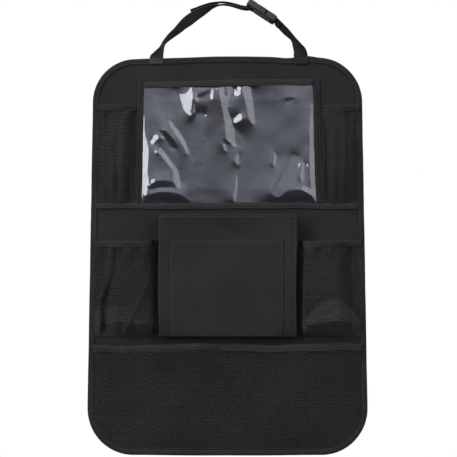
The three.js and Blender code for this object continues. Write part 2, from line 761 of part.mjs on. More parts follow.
// A plan outline in the buckle's frame, extruded about its middle plane with rounded rims.
function plate(shape, height, rim) {
  const extruded = new THREE.ExtrudeGeometry(shape, {
    depth: height - 2 * rim,
    bevelEnabled: rim > 0,
    bevelSize: rim,
    bevelOffset: -rim,
    bevelThickness: rim,
    bevelSegments: 2,
    curveSegments: 4,
  });
  return toSolid(extruded.translate(0, 0, rim - height / 2));
}

const halfBuckle = BUCKLE_WIDTH / 2;
const halfSlot = WEBBING_WIDTH / 2 + SLOT_SIDE_GAP;
const cavityHalfHeight = BUCKLE_THICKNESS / 2 - BUCKLE_WALL;
const cavityHalfWidth = halfBuckle - BUCKLE_WALL - PRONG_PLAY;

// The socket: a flat hollow shell with a window in each side and a bar for the sewn webbing.
function buckleSocket() {
  const nose = 5;
  const shape = new THREE.Shape();
  shape.moveTo(0, -halfBuckle);
  shape.lineTo(SOCKET_LENGTH - nose, -halfBuckle);
  shape.quadraticCurveTo(SOCKET_LENGTH, -halfBuckle, SOCKET_LENGTH, nose - halfBuckle);
  shape.lineTo(SOCKET_LENGTH, halfBuckle - nose);
  shape.quadraticCurveTo(SOCKET_LENGTH, halfBuckle, SOCKET_LENGTH - nose, halfBuckle);
  shape.lineTo(0, halfBuckle);
  shape.closePath();
  const slotEnd = SOCKET_LENGTH - BAR;
  const slotStart = slotEnd - SOCKET_SLOT;
  const reach = BUCKLE_THICKNESS;
  let body = plate(shape, BUCKLE_THICKNESS, 1);
  const cuts = [
    block(-1, SOCKET_CAVITY, -cavityHalfWidth, cavityHalfWidth, -cavityHalfHeight, cavityHalfHeight),
    block(slotStart, slotEnd, -halfSlot, halfSlot, -reach, reach),
    block(slotStart, SOCKET_LENGTH + 1, -halfSlot, halfSlot, BAR_HEIGHT / 2, reach),
    block(slotStart, SOCKET_LENGTH + 1, -halfSlot, halfSlot, -reach, -BAR_HEIGHT / 2),
  ];
  for (const side of [-1, 1]) {
    const [near, far] = [side * (cavityHalfWidth - 3), side * (halfBuckle + 1)];
    const window = [Math.min(near, far), Math.max(near, far), -cavityHalfHeight, cavityHalfHeight];
    cuts.push(block(WINDOW_START, WINDOW_START + WINDOW_LENGTH, ...window));
  }
  for (const cut of cuts) {
    body = body.subtract(cut);
  }
  return toGeometry(body);
}

// The plug: a ladder for the threaded webbing, two sprung prongs that snap into the socket's
// windows, and a guide between them, moulded in one piece.
function bucklePlug() {
  const halfHeight = cavityHalfHeight - PRONG_PLAY;
  const start = -SEAM_GAP;
  const root = cavityHalfWidth - 4;
  const catchAt = WINDOW_START + SEAM_GAP;
  const catchEnd = WINDOW_START + WINDOW_LENGTH - SEAM_GAP;
  const pad = halfBuckle - SEAM_GAP;
  const inner = root - PRONG_THICKNESS;
  const prong = (side) => {
    const shape = new THREE.Shape();
    shape.moveTo(start - 1, side * inner);
    shape.lineTo(catchAt, side * (inner + 1));
    shape.lineTo(PRONG_LENGTH, side * (inner + 2.5));
    shape.quadraticCurveTo(PRONG_LENGTH + 1, side * root, catchEnd, side * (pad - 3));
    shape.quadraticCurveTo(catchEnd - 1, side * pad, catchAt + 2, side * pad);
    shape.lineTo(catchAt, side * (pad - 0.6));
    shape.lineTo(catchAt, side * (root + 1));
    shape.lineTo(start - 1, side * root);
    shape.closePath();
    return plate(shape, 2 * halfHeight, 0);
  };
  const top = BUCKLE_THICKNESS / 2;
  const barEnd = -PLUG_LENGTH;
  const midBar = ladder.shoulder - LADDER_SLOT;
  const base = new THREE.Shape();
  base.moveTo(start, -halfBuckle);
  base.lineTo(start, halfBuckle);
  base.lineTo(barEnd + 3, halfBuckle);
  base.quadraticCurveTo(barEnd, halfBuckle, barEnd, halfBuckle - 3);
  base.lineTo(barEnd, 3 - halfBuckle);
  base.quadraticCurveTo(barEnd, -halfBuckle, barEnd + 3, -halfBuckle);
  base.closePath();
  let body = plate(base, BUCKLE_THICKNESS, 0.8);
  const reach = BUCKLE_THICKNESS;
  const overlap = 0.5;
  const cuts = [
    block(midBar, ladder.shoulder, -halfSlot, halfSlot, -reach, reach),
    block(midBar - BAR, midBar + overlap, -halfSlot, halfSlot, midBarTop, reach),
    block(midBar - BAR, midBar + overlap, -halfSlot, halfSlot, -reach, midBarFloor),
    block(barEnd + BAR, midBar - BAR, -halfSlot, halfSlot, -reach, reach),
    block(barEnd - 1, barEnd + BAR + overlap, -halfSlot, halfSlot, -reach, endBarFloor),
  ];
  for (const cut of cuts) {
    body = body.subtract(cut);
  }
  const halfGuide = GUIDE_WIDTH / 2;
  const halfGrip = halfSlot - 2;
  const joined = [
    prong(1),
    prong(-1),
    block(start - 1, GUIDE_LENGTH, -halfGuide, halfGuide, -halfHeight, halfHeight),
    block(barEnd, barEnd + BAR, -halfGrip, halfGrip, top - 1, top + GRIP_HEIGHT),
  ];
  for (const piece of joined) {
    body = body.add(piece);
  }
  return toGeometry(body);
}

const organizer = new THREE.Group();

function addPiece(name, geometry, colour, { roughness = 0.9, group = organizer } = {}) {
  const material = new THREE.MeshStandardMaterial({ color: colour, roughness, metalness: 0 });
  const mesh = new THREE.Mesh(geometry, material);
  mesh.name = name;
  group.add(mesh);
}

addPiece('back_panel', backPanel(), COLOURS.panel);
addPiece('edge_binding', edgeBinding(), COLOURS.binding);

const film = windowFilm();
const filmMouth = film.mouth.filter(({ point }) => point.x >= windowLeft && point.x <= windowRight);
addPiece('window_film', film.geometry, COLOURS.film, { roughness: 0.15 });
addPiece('window_hem', foldedHem(filmMouth, WINDOW_HEM), COLOURS.tape);
addPiece('window_strip_left', windowStrip(-1), COLOURS.tape);
addPiece('window_strip_right', windowStrip(1), COLOURS.tape);
addPiece('cross_band', crossBand(), COLOURS.tape);

for (const [side, word] of [[-1, 'left'], [1, 'right']]) {
  const upper = upperNet(side);
  addPiece(`upper_net_${word}`, upper.geometry, COLOURS.net);
  addPiece(`upper_hem_${word}`, foldedHem(upper.mouth, UPPER_HEM), COLOURS.tape);
  const middle = middleNet(side);
  addPiece(`middle_net_${word}`, middle.geometry, COLOURS.net);
  addPiece(`middle_hem_${word}`, foldedHem(middle.mouth, MIDDLE_HEM), COLOURS.tape);
}

addPiece('bellows_gusset', bellowsGusset(), COLOURS.panel);
addPiece('bellows_front', bellowsFront(), COLOURS.panel);
addPiece('patch_pocket', patchPocket(), COLOURS.panel);

const lower = lowerNet();
addPiece('lower_net', lower.geometry, COLOURS.net);
addPiece('lower_hem', foldedHem(lower.mouth, LOWER_HEM), COLOURS.tape);

addPiece('strap_left', leftStrap(), COLOURS.webbing);
addPiece('strap_right', rightStrap(), COLOURS.webbing);

const buckle = new THREE.Group();
buckle.position.copy(BUCKLE_PLACE);
buckle.quaternion.setFromRotationMatrix(new THREE.Matrix4().makeBasis(along, acrossBuckle, outOfBuckle));
addPiece('buckle_socket', buckleSocket(), COLOURS.plastic, { roughness: 0.45, group: buckle });
addPiece('buckle_plug', bucklePlug(), COLOURS.plastic, { roughness: 0.45, group: buckle });
organizer.add(buckle);

export default organizer;
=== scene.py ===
"""Car seat back organizer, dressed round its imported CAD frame.

Metres, +Z up. The rear face lies at y = 0 and the front looks along -Y.
"""
import math

import bpy
import numpy as np
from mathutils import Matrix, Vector
from mathutils.bvhtree import BVHTree


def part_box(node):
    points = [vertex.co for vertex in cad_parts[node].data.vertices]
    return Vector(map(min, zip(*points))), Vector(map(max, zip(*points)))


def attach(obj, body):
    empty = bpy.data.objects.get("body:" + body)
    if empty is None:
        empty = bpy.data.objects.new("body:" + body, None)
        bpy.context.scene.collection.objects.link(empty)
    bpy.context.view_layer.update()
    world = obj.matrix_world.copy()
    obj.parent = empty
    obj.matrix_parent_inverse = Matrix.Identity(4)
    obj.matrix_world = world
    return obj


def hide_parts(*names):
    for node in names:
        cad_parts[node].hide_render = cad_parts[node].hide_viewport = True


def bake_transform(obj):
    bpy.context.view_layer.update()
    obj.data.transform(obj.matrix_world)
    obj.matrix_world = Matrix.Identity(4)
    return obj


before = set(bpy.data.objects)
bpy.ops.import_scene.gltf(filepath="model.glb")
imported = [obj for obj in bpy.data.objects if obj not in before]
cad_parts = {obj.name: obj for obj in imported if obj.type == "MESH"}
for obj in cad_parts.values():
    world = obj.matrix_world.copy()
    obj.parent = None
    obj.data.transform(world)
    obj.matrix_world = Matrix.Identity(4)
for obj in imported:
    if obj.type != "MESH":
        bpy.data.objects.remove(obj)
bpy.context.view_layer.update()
scene = bpy.context.scene
scene.view_settings.view_transform = "Standard"
MM = 0.001


# Camera and studio
# The photograph looks straight at the hanging organizer through a long lens. A white room lights
# it softly, most of all from above, with a strong tall window on the left and a weaker one on the
# right. The room's lower half is dim, as under a table, so what faces down is dark.
CAMERA_DISTANCE = 3.0
PIXEL = 1.4255
PHOTO_WIDTH = 457 * PIXEL * MM
PHOTO_CENTRE = (1.4 * MM, 39.0 * MM)
PANEL_FRONT = -3.0
SENSOR = 36.0
FAR_CLIP = 50

camera_data = bpy.data.cameras.new("camera")
camera_data.sensor_width = SENSOR
camera_data.lens = SENSOR * CAMERA_DISTANCE / PHOTO_WIDTH
camera_data.clip_end = FAR_CLIP
camera = bpy.data.objects.new("camera", camera_data)
camera.location = (PHOTO_CENTRE[0], PANEL_FRONT * MM - CAMERA_DISTANCE, PHOTO_CENTRE[1])
camera.rotation_euler = (math.radians(90), 0, 0)
scene.collection.objects.link(camera)
scene.camera = camera


def add_window(name, place, width, height, power):
    """A lit window, in metres and watts, that faces the middle of the organizer."""
    data = bpy.data.lights.new(name, "AREA")
    data.shape = "RECTANGLE"
    data.size = width
    data.size_y = height
    data.energy = power
    lamp = bpy.data.objects.new(name, data)
    lamp.location = place
    lamp.rotation_euler = (-Vector(place)).to_track_quat("-Z", "Y").to_euler()
    scene.collection.objects.link(lamp)


LEFT_LAMP = (-1.5, -1.3, 1.0)
RIGHT_LAMP = (1.7, -1.3, 0.9)
add_window("left_window", LEFT_LAMP, width=0.9, height=2.3, power=46)
add_window("right_window", RIGHT_LAMP, width=1.8, height=2.6, power=22)


def add_node(tree, kind, **values):
    """A node with values on its sockets, which are named with _ for a space."""
    node = tree.nodes.new(kind)
    for socket, value in values.items():
        node.inputs[socket.replace("_", " ")].default_value = value
    return node


def number_node(tree, operation, *values):
    """A maths node whose inputs are sockets or plain numbers."""
    node = tree.nodes.new("ShaderNodeMath")
    node.operation = operation
    for socket, value in zip(node.inputs, values):
        if isinstance(value, bpy.types.NodeSocket):
            tree.links.new(value, socket)
        else:
            socket.default_value = value
    return node.outputs[0]


def new_material(name, **values):
    """A material with plain values on its shader, its node tree and the shader."""
    made = bpy.data.materials.new(name)
    made.use_nodes = True
    shader = made.node_tree.nodes["Principled BSDF"]
    for socket, value in values.items():
        shader.inputs[socket.replace("_", " ")].default_value = value
    return made, made.node_tree, shader


# The camera sees plain white behind the organizer. Cloth is lit by dim walls, and whatever is
# mirrored in gloss or in either face of the clear film comes from walls that are brighter.
AMBIENT = 0.52
MIRRORED = 2.0
FLOOR_DARK = 0.02
DUSK = 0.5
WALL_WHITE = (0.9, 0.92, 1, 1)
world = bpy.data.worlds.new("white_room")
scene.world = world
world.use_nodes = True
room = world.node_tree
room.nodes.clear()
rays = add_node(room, "ShaderNodeLightPath")
mirrored = number_node(
    room, "MAXIMUM", rays.outputs["Is Glossy Ray"], rays.outputs["Is Transmission Ray"])
heading = add_node(room, "ShaderNodeTexCoord")
split = add_node(room, "ShaderNodeSeparateXYZ")
room.links.new(heading.outputs["Generated"], split.inputs[0])
slope = add_node(room, "ShaderNodeMapRange", From_Min=-DUSK, From_Max=DUSK,
                 To_Min=FLOOR_DARK, To_Max=1)
slope.interpolation_type = "SMOOTHSTEP"
room.links.new(split.outputs["Z"], slope.inputs["Value"])
strength = add_node(room, "ShaderNodeMapRange", To_Min=AMBIENT, To_Max=MIRRORED)
room.links.new(mirrored, strength.inputs["Value"])
walls = add_node(room, "ShaderNodeBackground", Color=WALL_WHITE)
room.links.new(number_node(room, "MULTIPLY", slope.outputs[0], strength.outputs[0]),
               walls.inputs["Strength"])
white = add_node(room, "ShaderNodeBackground", Color=(1, 1, 1, 1))
choose = add_node(room, "ShaderNodeMixShader")
for source, socket in zip((rays.outputs["Is Camera Ray"], walls.outputs[0], white.outputs[0]),
                          choose.inputs):
    room.links.new(source, socket)
out = add_node(room, "ShaderNodeOutputWorld")
room.links.new(choose.outputs[0], out.inputs["Surface"])

FLOOR_Z = -0.45
FLOOR_SIDE = 0.6
FLOOR_FRONT, FLOOR_REAR = -0.4, 0.5
floor_mesh = bpy.data.meshes.new("floor")
floor_mesh.from_pydata([(-FLOOR_SIDE, FLOOR_FRONT, FLOOR_Z), (FLOOR_SIDE, FLOOR_FRONT, FLOOR_Z),
                        (FLOOR_SIDE, FLOOR_REAR, FLOOR_Z), (-FLOOR_SIDE, FLOOR_REAR, FLOOR_Z)],
                       [], [(0, 1, 2, 3)])
floor_mesh.materials.append(new_material("floor_paint", Base_Color=(0.35, 0.35, 0.35, 1))[0])
floor = bpy.data.objects.new("floor", floor_mesh)
scene.collection.objects.link(floor)


# Back panel
# One layer of woven polyester on a thin stiffener, cut with rounded corners. It hangs flat, with
# slow waves where it was folded for packing. Its weave is a fine plain one.
BODY = "organizer"


def new_group(name, inputs, outputs):
    """An empty shader node group with named inputs and outputs."""
    group = bpy.data.node_groups.new(name, "ShaderNodeTree")
    for label, kind, default in inputs:
        socket = group.interface.new_socket(label, in_out="INPUT", socket_type=kind)
        if default is not None:
            socket.default_value = default
    for label, kind in outputs:
        group.interface.new_socket(label, in_out="OUTPUT", socket_type=kind)
    return group, group.nodes.new("NodeGroupInput"), group.nodes.new("NodeGroupOutput")


# Plain weave: threads pass over and under each other on a square lattice.
weave, weave_in, weave_out = new_group(
    "plain_weave",
    [("Place", "NodeSocketVector", None), ("Threads per metre", "NodeSocketFloat", 1400.0)],
    [("Height", "NodeSocketFloat"), ("Shade", "NodeSocketFloat")],
)
place = add_node(weave, "ShaderNodeSeparateXYZ")
weave.links.new(weave_in.outputs["Place"], place.inputs[0])
turns = number_node(weave, "MULTIPLY", weave_in.outputs["Threads per metre"], math.pi)
warp = number_node(weave, "SINE", number_node(weave, "MULTIPLY", place.outputs["X"], turns))
weft = number_node(weave, "SINE", number_node(weave, "MULTIPLY", place.outputs["Z"], turns))
crossing = number_node(weave, "MULTIPLY", warp, weft)
slub = add_node(weave, "ShaderNodeTexNoise", Scale=260, Detail=3)
weave.links.new(weave_in.outputs["Place"], slub.inputs["Vector"])
height = number_node(weave, "MULTIPLY_ADD", crossing, 0.5, slub.outputs[0])
weave.links.new(height, weave_out.inputs["Height"])
tone = add_node(weave, "ShaderNodeTexNoise", Scale=14, Detail=4)
weave.links.new(weave_in.outputs["Place"], tone.inputs["Vector"])
# The crossings also darken the colour a little where threads dip under: painted shade. The noise
# is the cloth's own drifting tone.
shade = number_node(weave, "MULTIPLY_ADD", crossing, 0.09, tone.outputs[0])
weave.links.new(shade, weave_out.inputs["Shade"])


def shade_by(tree, shader, level, colour, gains, ends=(0, 1)):
    """Colours a shader from darker to lighter than a colour, as a level goes between two ends."""
    ramp = add_node(tree, "ShaderNodeValToRGB")
    for element, gain, end in zip(ramp.color_ramp.elements, gains, ends):
        element.position = end
        element.color = tuple(gain * c for c in colour) + (1,)
    tree.links.new(level, ramp.inputs[0])
    tree.links.new(ramp.outputs[0], shader.inputs["Base Color"])


def raise_by(tree, shader, height, strength, depth):
    """Lets a height tilt a shader's surface, as if it stood up by a depth in metres."""
    grain = add_node(tree, "ShaderNodeBump", Strength=strength, Distance=depth)
    tree.links.new(height, grain.inputs["Height"])
    tree.links.new(grain.outputs[0], shader.inputs["Normal"])


def woven_material(name, colour, threads, depth, sheen=0.05):
    """Woven cloth: a tone that drifts, a little painted shade between threads, and threads that
    stand up by the given depth.
    """
    made, tree, shader = new_material(
        name, Roughness=0.85, Specular_IOR_Level=0.18, Sheen_Weight=sheen, Sheen_Roughness=0.4)
    spot = add_node(tree, "ShaderNodeTexCoord")
    cloth = tree.nodes.new("ShaderNodeGroup")
    cloth.node_tree = weave
    cloth.inputs["Threads per metre"].default_value = threads
    tree.links.new(spot.outputs["Object"], cloth.inputs["Place"])
    shade_by(tree, shader, cloth.outputs["Shade"], colour, gains=(0.72, 1.28), ends=(0.25, 0.8))
    raise_by(tree, shader, cloth.outputs["Height"], 0.5, depth)
    return made


def add_mesh(name, points, faces, material, lay=None, body=BODY):
    """A smooth-shaded piece that rides on a body, or on none yet when body is None."""
    mesh = bpy.data.meshes.new(name)
    mesh.from_pydata(np.asarray(points).tolist(), [], [list(map(int, f)) for f in faces])
    mesh.polygons.foreach_set("use_smooth", [True] * len(mesh.polygons))
    if lay is not None:
        attribute = mesh.attributes.new("lay", "FLOAT_VECTOR", "POINT")
        attribute.data.foreach_set("vector", np.asarray(lay, np.float32).ravel())
    mesh.materials.append(material)
    piece = bpy.data.objects.new(name, mesh)
    scene.collection.objects.link(piece)
    if body:
        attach(piece, body)
    return piece


def grid_faces(rows, columns, start=0, flip=False, wrap=False):
    """Quads between neighbouring points of a grid, whose rows close on themselves with wrap."""
    faces = []
    for j in range(rows - 1):
        for i in range(columns if wrap else columns - 1):
            k = (i + 1) % columns
            face = [j * columns + i, j * columns + k, (j + 1) * columns + k, (j + 1) * columns + i]
            faces.append([start + p for p in (reversed(face) if flip else face)])
    return faces


def unit(vectors, tiny=0.0):
    """Vectors brought to length 1. A tiny length added to theirs spares one that has none."""
    return vectors / (np.linalg.norm(vectors, axis=-1, keepdims=True) + tiny)


def closed_sheet(front, thickness):
    """A cloth wall behind a grid of front points, as one closed skin."""
    rows, columns = front.shape[:2]
    out = unit(np.cross(np.gradient(front, axis=1), np.gradient(front, axis=0)), 1e-12)
    back = front - out * thickness
    points = np.concatenate([front.reshape(-1, 3), back.reshape(-1, 3)])
    count = rows * columns
    faces = grid_faces(rows, columns) + grid_faces(rows, columns, count, flip=True)
    rim = (
        [i for i in range(columns)]
        + [j * columns + columns - 1 for j in range(1, rows)]
        + [(rows - 1) * columns + i for i in range(columns - 2, -1, -1)]
        + [j * columns for j in range(rows - 2, 0, -1)]
    )
    for a, b in zip(rim, rim[1:] + rim[:1]):
        faces.append([b, a, count + a, count + b])
    return points, faces


CLOTH_BLACK = (0.0162, 0.0162, 0.0167)
CLOTH_WEAVE = (1400, 0.25 * MM)
panel_cloth = woven_material("panel_cloth", CLOTH_BLACK, *CLOTH_WEAVE)

PANEL_HALF_HEIGHT = 285.0
PANEL_TOP_BOW = 5.0
PANEL_BOTTOM_BOW = 2.0
PANEL_HALF_WIDTH = 201.0
PANEL_TAPER = (1.0, 382 / 402)
CORNERS = {"top": 60.0, "bottom": 66.0}


def bump(value, middle, width):
    """A smooth hump of height 1."""
    return np.exp(-((value - middle) / width) ** 2)


def panel_edge(x, z):
    """Tapers and bows a place on an upright rounded rectangle into the panel's outline, in mm."""
    share = z / (2 * PANEL_HALF_HEIGHT) + 0.5
    width = PANEL_TAPER[0] + (PANEL_TAPER[1] - PANEL_TAPER[0]) * share
    bow = np.where(z > 0, PANEL_TOP_BOW, -PANEL_BOTTOM_BOW) * (1 - (x / PANEL_HALF_WIDTH) ** 2)
    # the straps pull the top edge out of true: it sags at their feet and stands up beyond one
    pulled = 2.4 * bump(x, 121, 13) - 1.6 * bump(x, 88, 13) - 0.9 * (1 - np.tanh((x + 50) / 25))
    lift = np.where(z > 0, bow + pulled, bow) * (np.abs(z) / PANEL_HALF_HEIGHT) ** 6
    return x * width, z + lift


def panel_rows(inset, straight_rows, corner_rows):
    """Heights down the panel and its half width there, drawn in from the edge by an inset."""
    top = PANEL_HALF_HEIGHT - PANEL_TOP_BOW - inset
    bottom = -PANEL_HALF_HEIGHT + PANEL_BOTTOM_BOW + inset
    half = PANEL_HALF_WIDTH - inset
    low_radius = CORNERS["bottom"] - inset
    high_radius = CORNERS["top"] - inset
    angles = np.linspace(0, math.pi / 2, corner_rows)
    low = bottom + low_radius * (1 - np.cos(angles))
    low_width = half - low_radius * (1 - np.sin(angles))
    high = (top - high_radius * (1 - np.cos(angles)))[::-1]
    high_width = (half - high_radius * (1 - np.sin(angles)))[::-1]
    middle = np.linspace(low[-1], high[0], straight_rows)[1:-1]
    heights = np.concatenate([low, middle, high])
    widths = np.concatenate([low_width, np.full(len(middle), half), high_width])
    return heights, widths


def slow_waves(x, z):
    """How far the hanging cloth bows out of flat, in mm, at places in mm."""
    folds = 0.7 * np.sin(x / 31 + 0.6 * np.sin(z / 70)) * np.sin(z / 95 + 0.8)
    return folds + 0.5 * np.sin((x + 0.7 * z) / 24 + 1.3) * np.cos(z / 130)


PANEL_INSET = 1.2
PANEL_ROWS = 110
CORNER_ROWS = 16
EDGE_FADE = 12
heights, widths = panel_rows(PANEL_INSET, PANEL_ROWS, CORNER_ROWS)
across = np.linspace(-1, 1, PANEL_ROWS)
flat_x = widths[:, None] * across[None, :]
flat_z = np.repeat(heights[:, None], len(across), axis=1)
panel_x, panel_z = panel_edge(flat_x, flat_z)
edge_fade = np.clip((1 - np.abs(across[None, :])) * EDGE_FADE, 0, 1)
panel_y = PANEL_FRONT + 0.5 * np.abs(slow_waves(panel_x, panel_z)) * edge_fade
front = np.stack([panel_x, panel_y, panel_z], axis=2) * MM
back_y = -0.35 * np.abs(slow_waves(panel_x + 40, panel_z)) * edge_fade
back = np.stack([panel_x, back_y, panel_z], axis=2) * MM
points, faces = closed_sheet(front, 0)
points[len(points) // 2:] = back.reshape(-1, 3)
panel = add_mesh("panel", points, faces, panel_cloth)
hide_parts("back_panel")


# Edge binding
# A woven tape folded over the panel's raw edge all round and sewn through both legs with one
# row of stitches, which pulls it in a little at every stitch.
TAPE_BLACK = (0.0155, 0.0155, 0.0155)
TAPE_WEAVE = (1900, 0.2 * MM)
binding_tape = woven_material("binding_tape", TAPE_BLACK, *TAPE_WEAVE)
STITCH = 3.4


def run_along(places):
    """How far each of a line's places is from its start, along the line."""
    return np.concatenate([[0], np.cumsum(np.linalg.norm(np.diff(places, axis=0), axis=1))])


def outline(count, side_rows=60, corner_rows=24):
    """Evenly spaced points round the panel's edge, in mm, and the length of the edge."""
    heights, widths = panel_rows(0, side_rows, corner_rows)
    top = np.linspace(widths[-1], -widths[-1], side_rows)[1:-1]
    bottom = np.linspace(-widths[0], widths[0], side_rows)[1:-1]
    x = np.concatenate([widths, top, -widths[::-1], bottom, widths[:1]])
    z = np.concatenate([heights, np.full_like(top, heights[-1]), heights[::-1],
                        np.full_like(bottom, heights[0]), heights[:1]])
    loop = np.stack(panel_edge(x, z), axis=1)
    run = run_along(loop)
    at = np.linspace(0, run[-1], count, endpoint=False)
    return np.interp(at, run, loop[:, 0]), np.interp(at, run, loop[:, 1]), run[-1]


turn_count = 720
edge_x, edge_z, edge_run = outline(turn_count)
# the way in from each point of the edge, so that the tape lies square to it
tangent = np.stack([np.roll(edge_x, -1) - np.roll(edge_x, 1),
                    np.roll(edge_z, -1) - np.roll(edge_z, 1)])
tangent /= np.linalg.norm(tangent, axis=0)
inward = np.stack([-tangent[1], tangent[0]])
run = np.arange(turn_count) / turn_count * edge_run
pucker = 0.3 * np.cos(2 * math.pi * run / STITCH / 3) + 0.5 * np.sin(run / 13) * np.sin(run / 41)
# the tape's fold in section: how far in from the edge, and at what depth
section = [
    (8.5, -2.9), (8.7, -3.8), (8.3, -4.3), (7.0, -4.0), (5.8, -4.3), (3.0, -4.3), (1.4, -4.0),
    (0.5, -3.3), (0.1, -2.3), (0.1, -1.2), (0.5, -0.4), (1.3, 0.0), (4.0, 0.05), (7.2, 0.0),
    (8.4, 0.0), (8.5, -0.6), (7.6, -1.0), (1.6, -1.2), (1.6, -2.4), (7.6, -2.6),
]
rings = []
for inset, depth in section:
    lift = pucker * (0.5 if depth < PANEL_FRONT else 0.0)
    stand = np.maximum(inset + 0.15 * np.sin(run / 17 + depth), 0.05)
    rings.append(np.stack([
        edge_x + inward[0] * stand,
        np.full(turn_count, depth) - lift,
        edge_z + inward[1] * stand,
    ], axis=1))
points = (np.stack(rings, axis=1) * MM).reshape(-1, 3)
faces = [[p % len(points) for p in face]
         for face in grid_faces(turn_count + 1, len(section), wrap=True)]
binding = add_mesh("binding", points, faces, binding_tape)
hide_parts("edge_binding")


# Seams
# Polyester thread in running stitches. Each stitch is a short cord that dips into the cloth at
# both ends. Rows of them are gathered here and joined into one piece at the end.
THREAD_BLACK = (0.06, 0.06, 0.06)
thread = woven_material("thread", THREAD_BLACK, 4000, 0.1 * MM, sheen=0.2)
THREAD_WIDTH = 0.32
THREAD_SIDES = 6
STITCH_HALF = 0.36
STITCH_LIFTS = (-0.25, 0.12, 0.2, 0.12, -0.25)
STITCH_WIDTHS = (0.5, 1.0, 1.0, 1.0, 0.5)
BINDING_FRONT = -4.0
BINDING_SEAM = 6.6
stitch_points = []
stitch_faces = []


def cord_faces(rows, size, start=0, flip=False):
    """The skin of a cord or strip made of rings, closed at both ends."""
    ends = ([start + size - 1 - i for i in range(size)],
            [start + (rows - 1) * size + i for i in range(size)])
    faces = grid_faces(rows, size, start, flip, wrap=True)
    return faces + [end[::-1] if flip else end for end in ends]


def sew(path, pitch=STITCH):
    """Lays running stitches along a path of points in mm, just proud of the surface."""
    path = np.asarray(path, float)
    run = run_along(path)
    count = max(int(run[-1] / pitch), 1)
    for mark in (np.arange(count) + 0.5) * run[-1] / count:
        first, middle, last = np.stack([
            np.interp(mark + share * STITCH_HALF * pitch, run, path[:, k])
            for k in range(3) for share in (-1, 0, 1)]).reshape(3, 3).T
        way = unit(last - first, 1e-9)
        side = unit(np.cross(way, (0, 1, 0)), 1e-9)
        out = np.cross(side, way)
        if out[1] > 0:
            out = -out
        stitch_faces.extend(cord_faces(len(STITCH_LIFTS), THREAD_SIDES, len(stitch_points)))
        places = (first, (first + middle) / 2, middle, (middle + last) / 2, last)
        for point, lift, width in zip(places, STITCH_LIFTS, STITCH_WIDTHS):
            for angle in range(THREAD_SIDES):
                turn = angle * 2 * math.pi / THREAD_SIDES
                ring = side * math.cos(turn) + out * math.sin(turn)
                stitch_points.append(point + out * lift + ring * THREAD_WIDTH * width)


seam_x = edge_x + inward[0] * BINDING_SEAM
seam_z = edge_z + inward[1] * BINDING_SEAM
loop = np.stack([seam_x, np.full(turn_count, BINDING_FRONT), seam_z], axis=1)
sew(np.concatenate([loop, loop[:1]]))


# Tablet window
# A sheet of soft clear vinyl sewn down both sides and along the bottom. It was folded when packed,
# so it stands off the cloth in creases and flat facets that mirror the windows of the room.
FORWARD = Vector((0, 1, 0))
WALL_MARGIN = 0.2


def edges_of(node):
    """Left, right, foot and top of a CAD solid, in mm."""
    low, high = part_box(node)
    return low.x / MM, high.x / MM, low.z / MM, high.z / MM


def relief(node, step=3.0, passes=2):
    """Reads a CAD wall's front off the frame on an even grid, smooths its facets away, and
    returns how far forward it stands, in mm, at any places in mm."""
    left, right, foot, top = edges_of(node)
    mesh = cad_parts[node].data
    mesh.calc_loop_triangles()
    tree = BVHTree.FromPolygons([v.co for v in mesh.vertices],
                                [t.vertices for t in mesh.loop_triangles])
    xs = np.arange(left + WALL_MARGIN, right, step)
    zs = np.arange(foot + WALL_MARGIN, top, step)
    grid = np.full((len(zs), len(xs)), np.nan)
    for j, z in enumerate(zs):
        for i, x in enumerate(xs):
            hit = tree.ray_cast(Vector((x * MM, -1, z * MM)), FORWARD)[0]
            if hit is not None:
                grid[j, i] = hit.y / MM
    while np.isnan(grid).any():
        padded = np.pad(grid, 1, constant_values=np.nan)
        near = np.stack([padded[1:-1, :-2], padded[1:-1, 2:], padded[:-2, 1:-1], padded[2:, 1:-1]])
        known = ~np.isnan(near)
        mean = np.where(known, near, 0).sum(0) / np.maximum(known.sum(0), 1)
        grid = np.where(np.isnan(grid) & known.any(0), mean, grid)
    for _ in range(passes):
        for axis in (0, 1):
            edge = np.pad(grid, [(1, 1) if a == axis else (0, 0) for a in (0, 1)], mode="edge")
            grid = (np.take(edge, range(0, grid.shape[axis]), axis)
                    + 2 * grid
                    + np.take(edge, range(2, grid.shape[axis] + 2), axis)) / 4

    def read(x, z):
        x, z = np.broadcast_arrays(np.asarray(x, float), np.asarray(z, float))
        u = np.clip((x - xs[0]) / step, 0, len(xs) - 1.001)
        v = np.clip((z - zs[0]) / step, 0, len(zs) - 1.001)
        i, j = u.astype(int), v.astype(int)
        s, t = u - i, v - j
        low_row = grid[j, i] * (1 - s) + grid[j, i + 1] * s
        high_row = grid[j + 1, i] * (1 - s) + grid[j + 1, i + 1] * s
        return low_row * (1 - t) + high_row * t
    return read


PANEL_MIDDLE_PIXEL = (227.5, 255.85)


def photo_place(x, y):
    """A place in the photograph, in its pixels, as millimetres across and up the panel."""
    return (x - PANEL_MIDDLE_PIXEL[0]) * PIXEL, (PANEL_MIDDLE_PIXEL[1] - y) * PIXEL


def facing(target, x, z):
    """Slopes, across and up, at which film at a place mirrors a target to the camera."""
    spot = np.stack([x * MM, np.full_like(x, PANEL_FRONT * MM), z * MM], axis=-1)
    normal = unit(np.array(target) - spot) + unit(np.array(camera.location) - spot)
    return normal[..., 0] / normal[..., 1], normal[..., 2] / normal[..., 1]


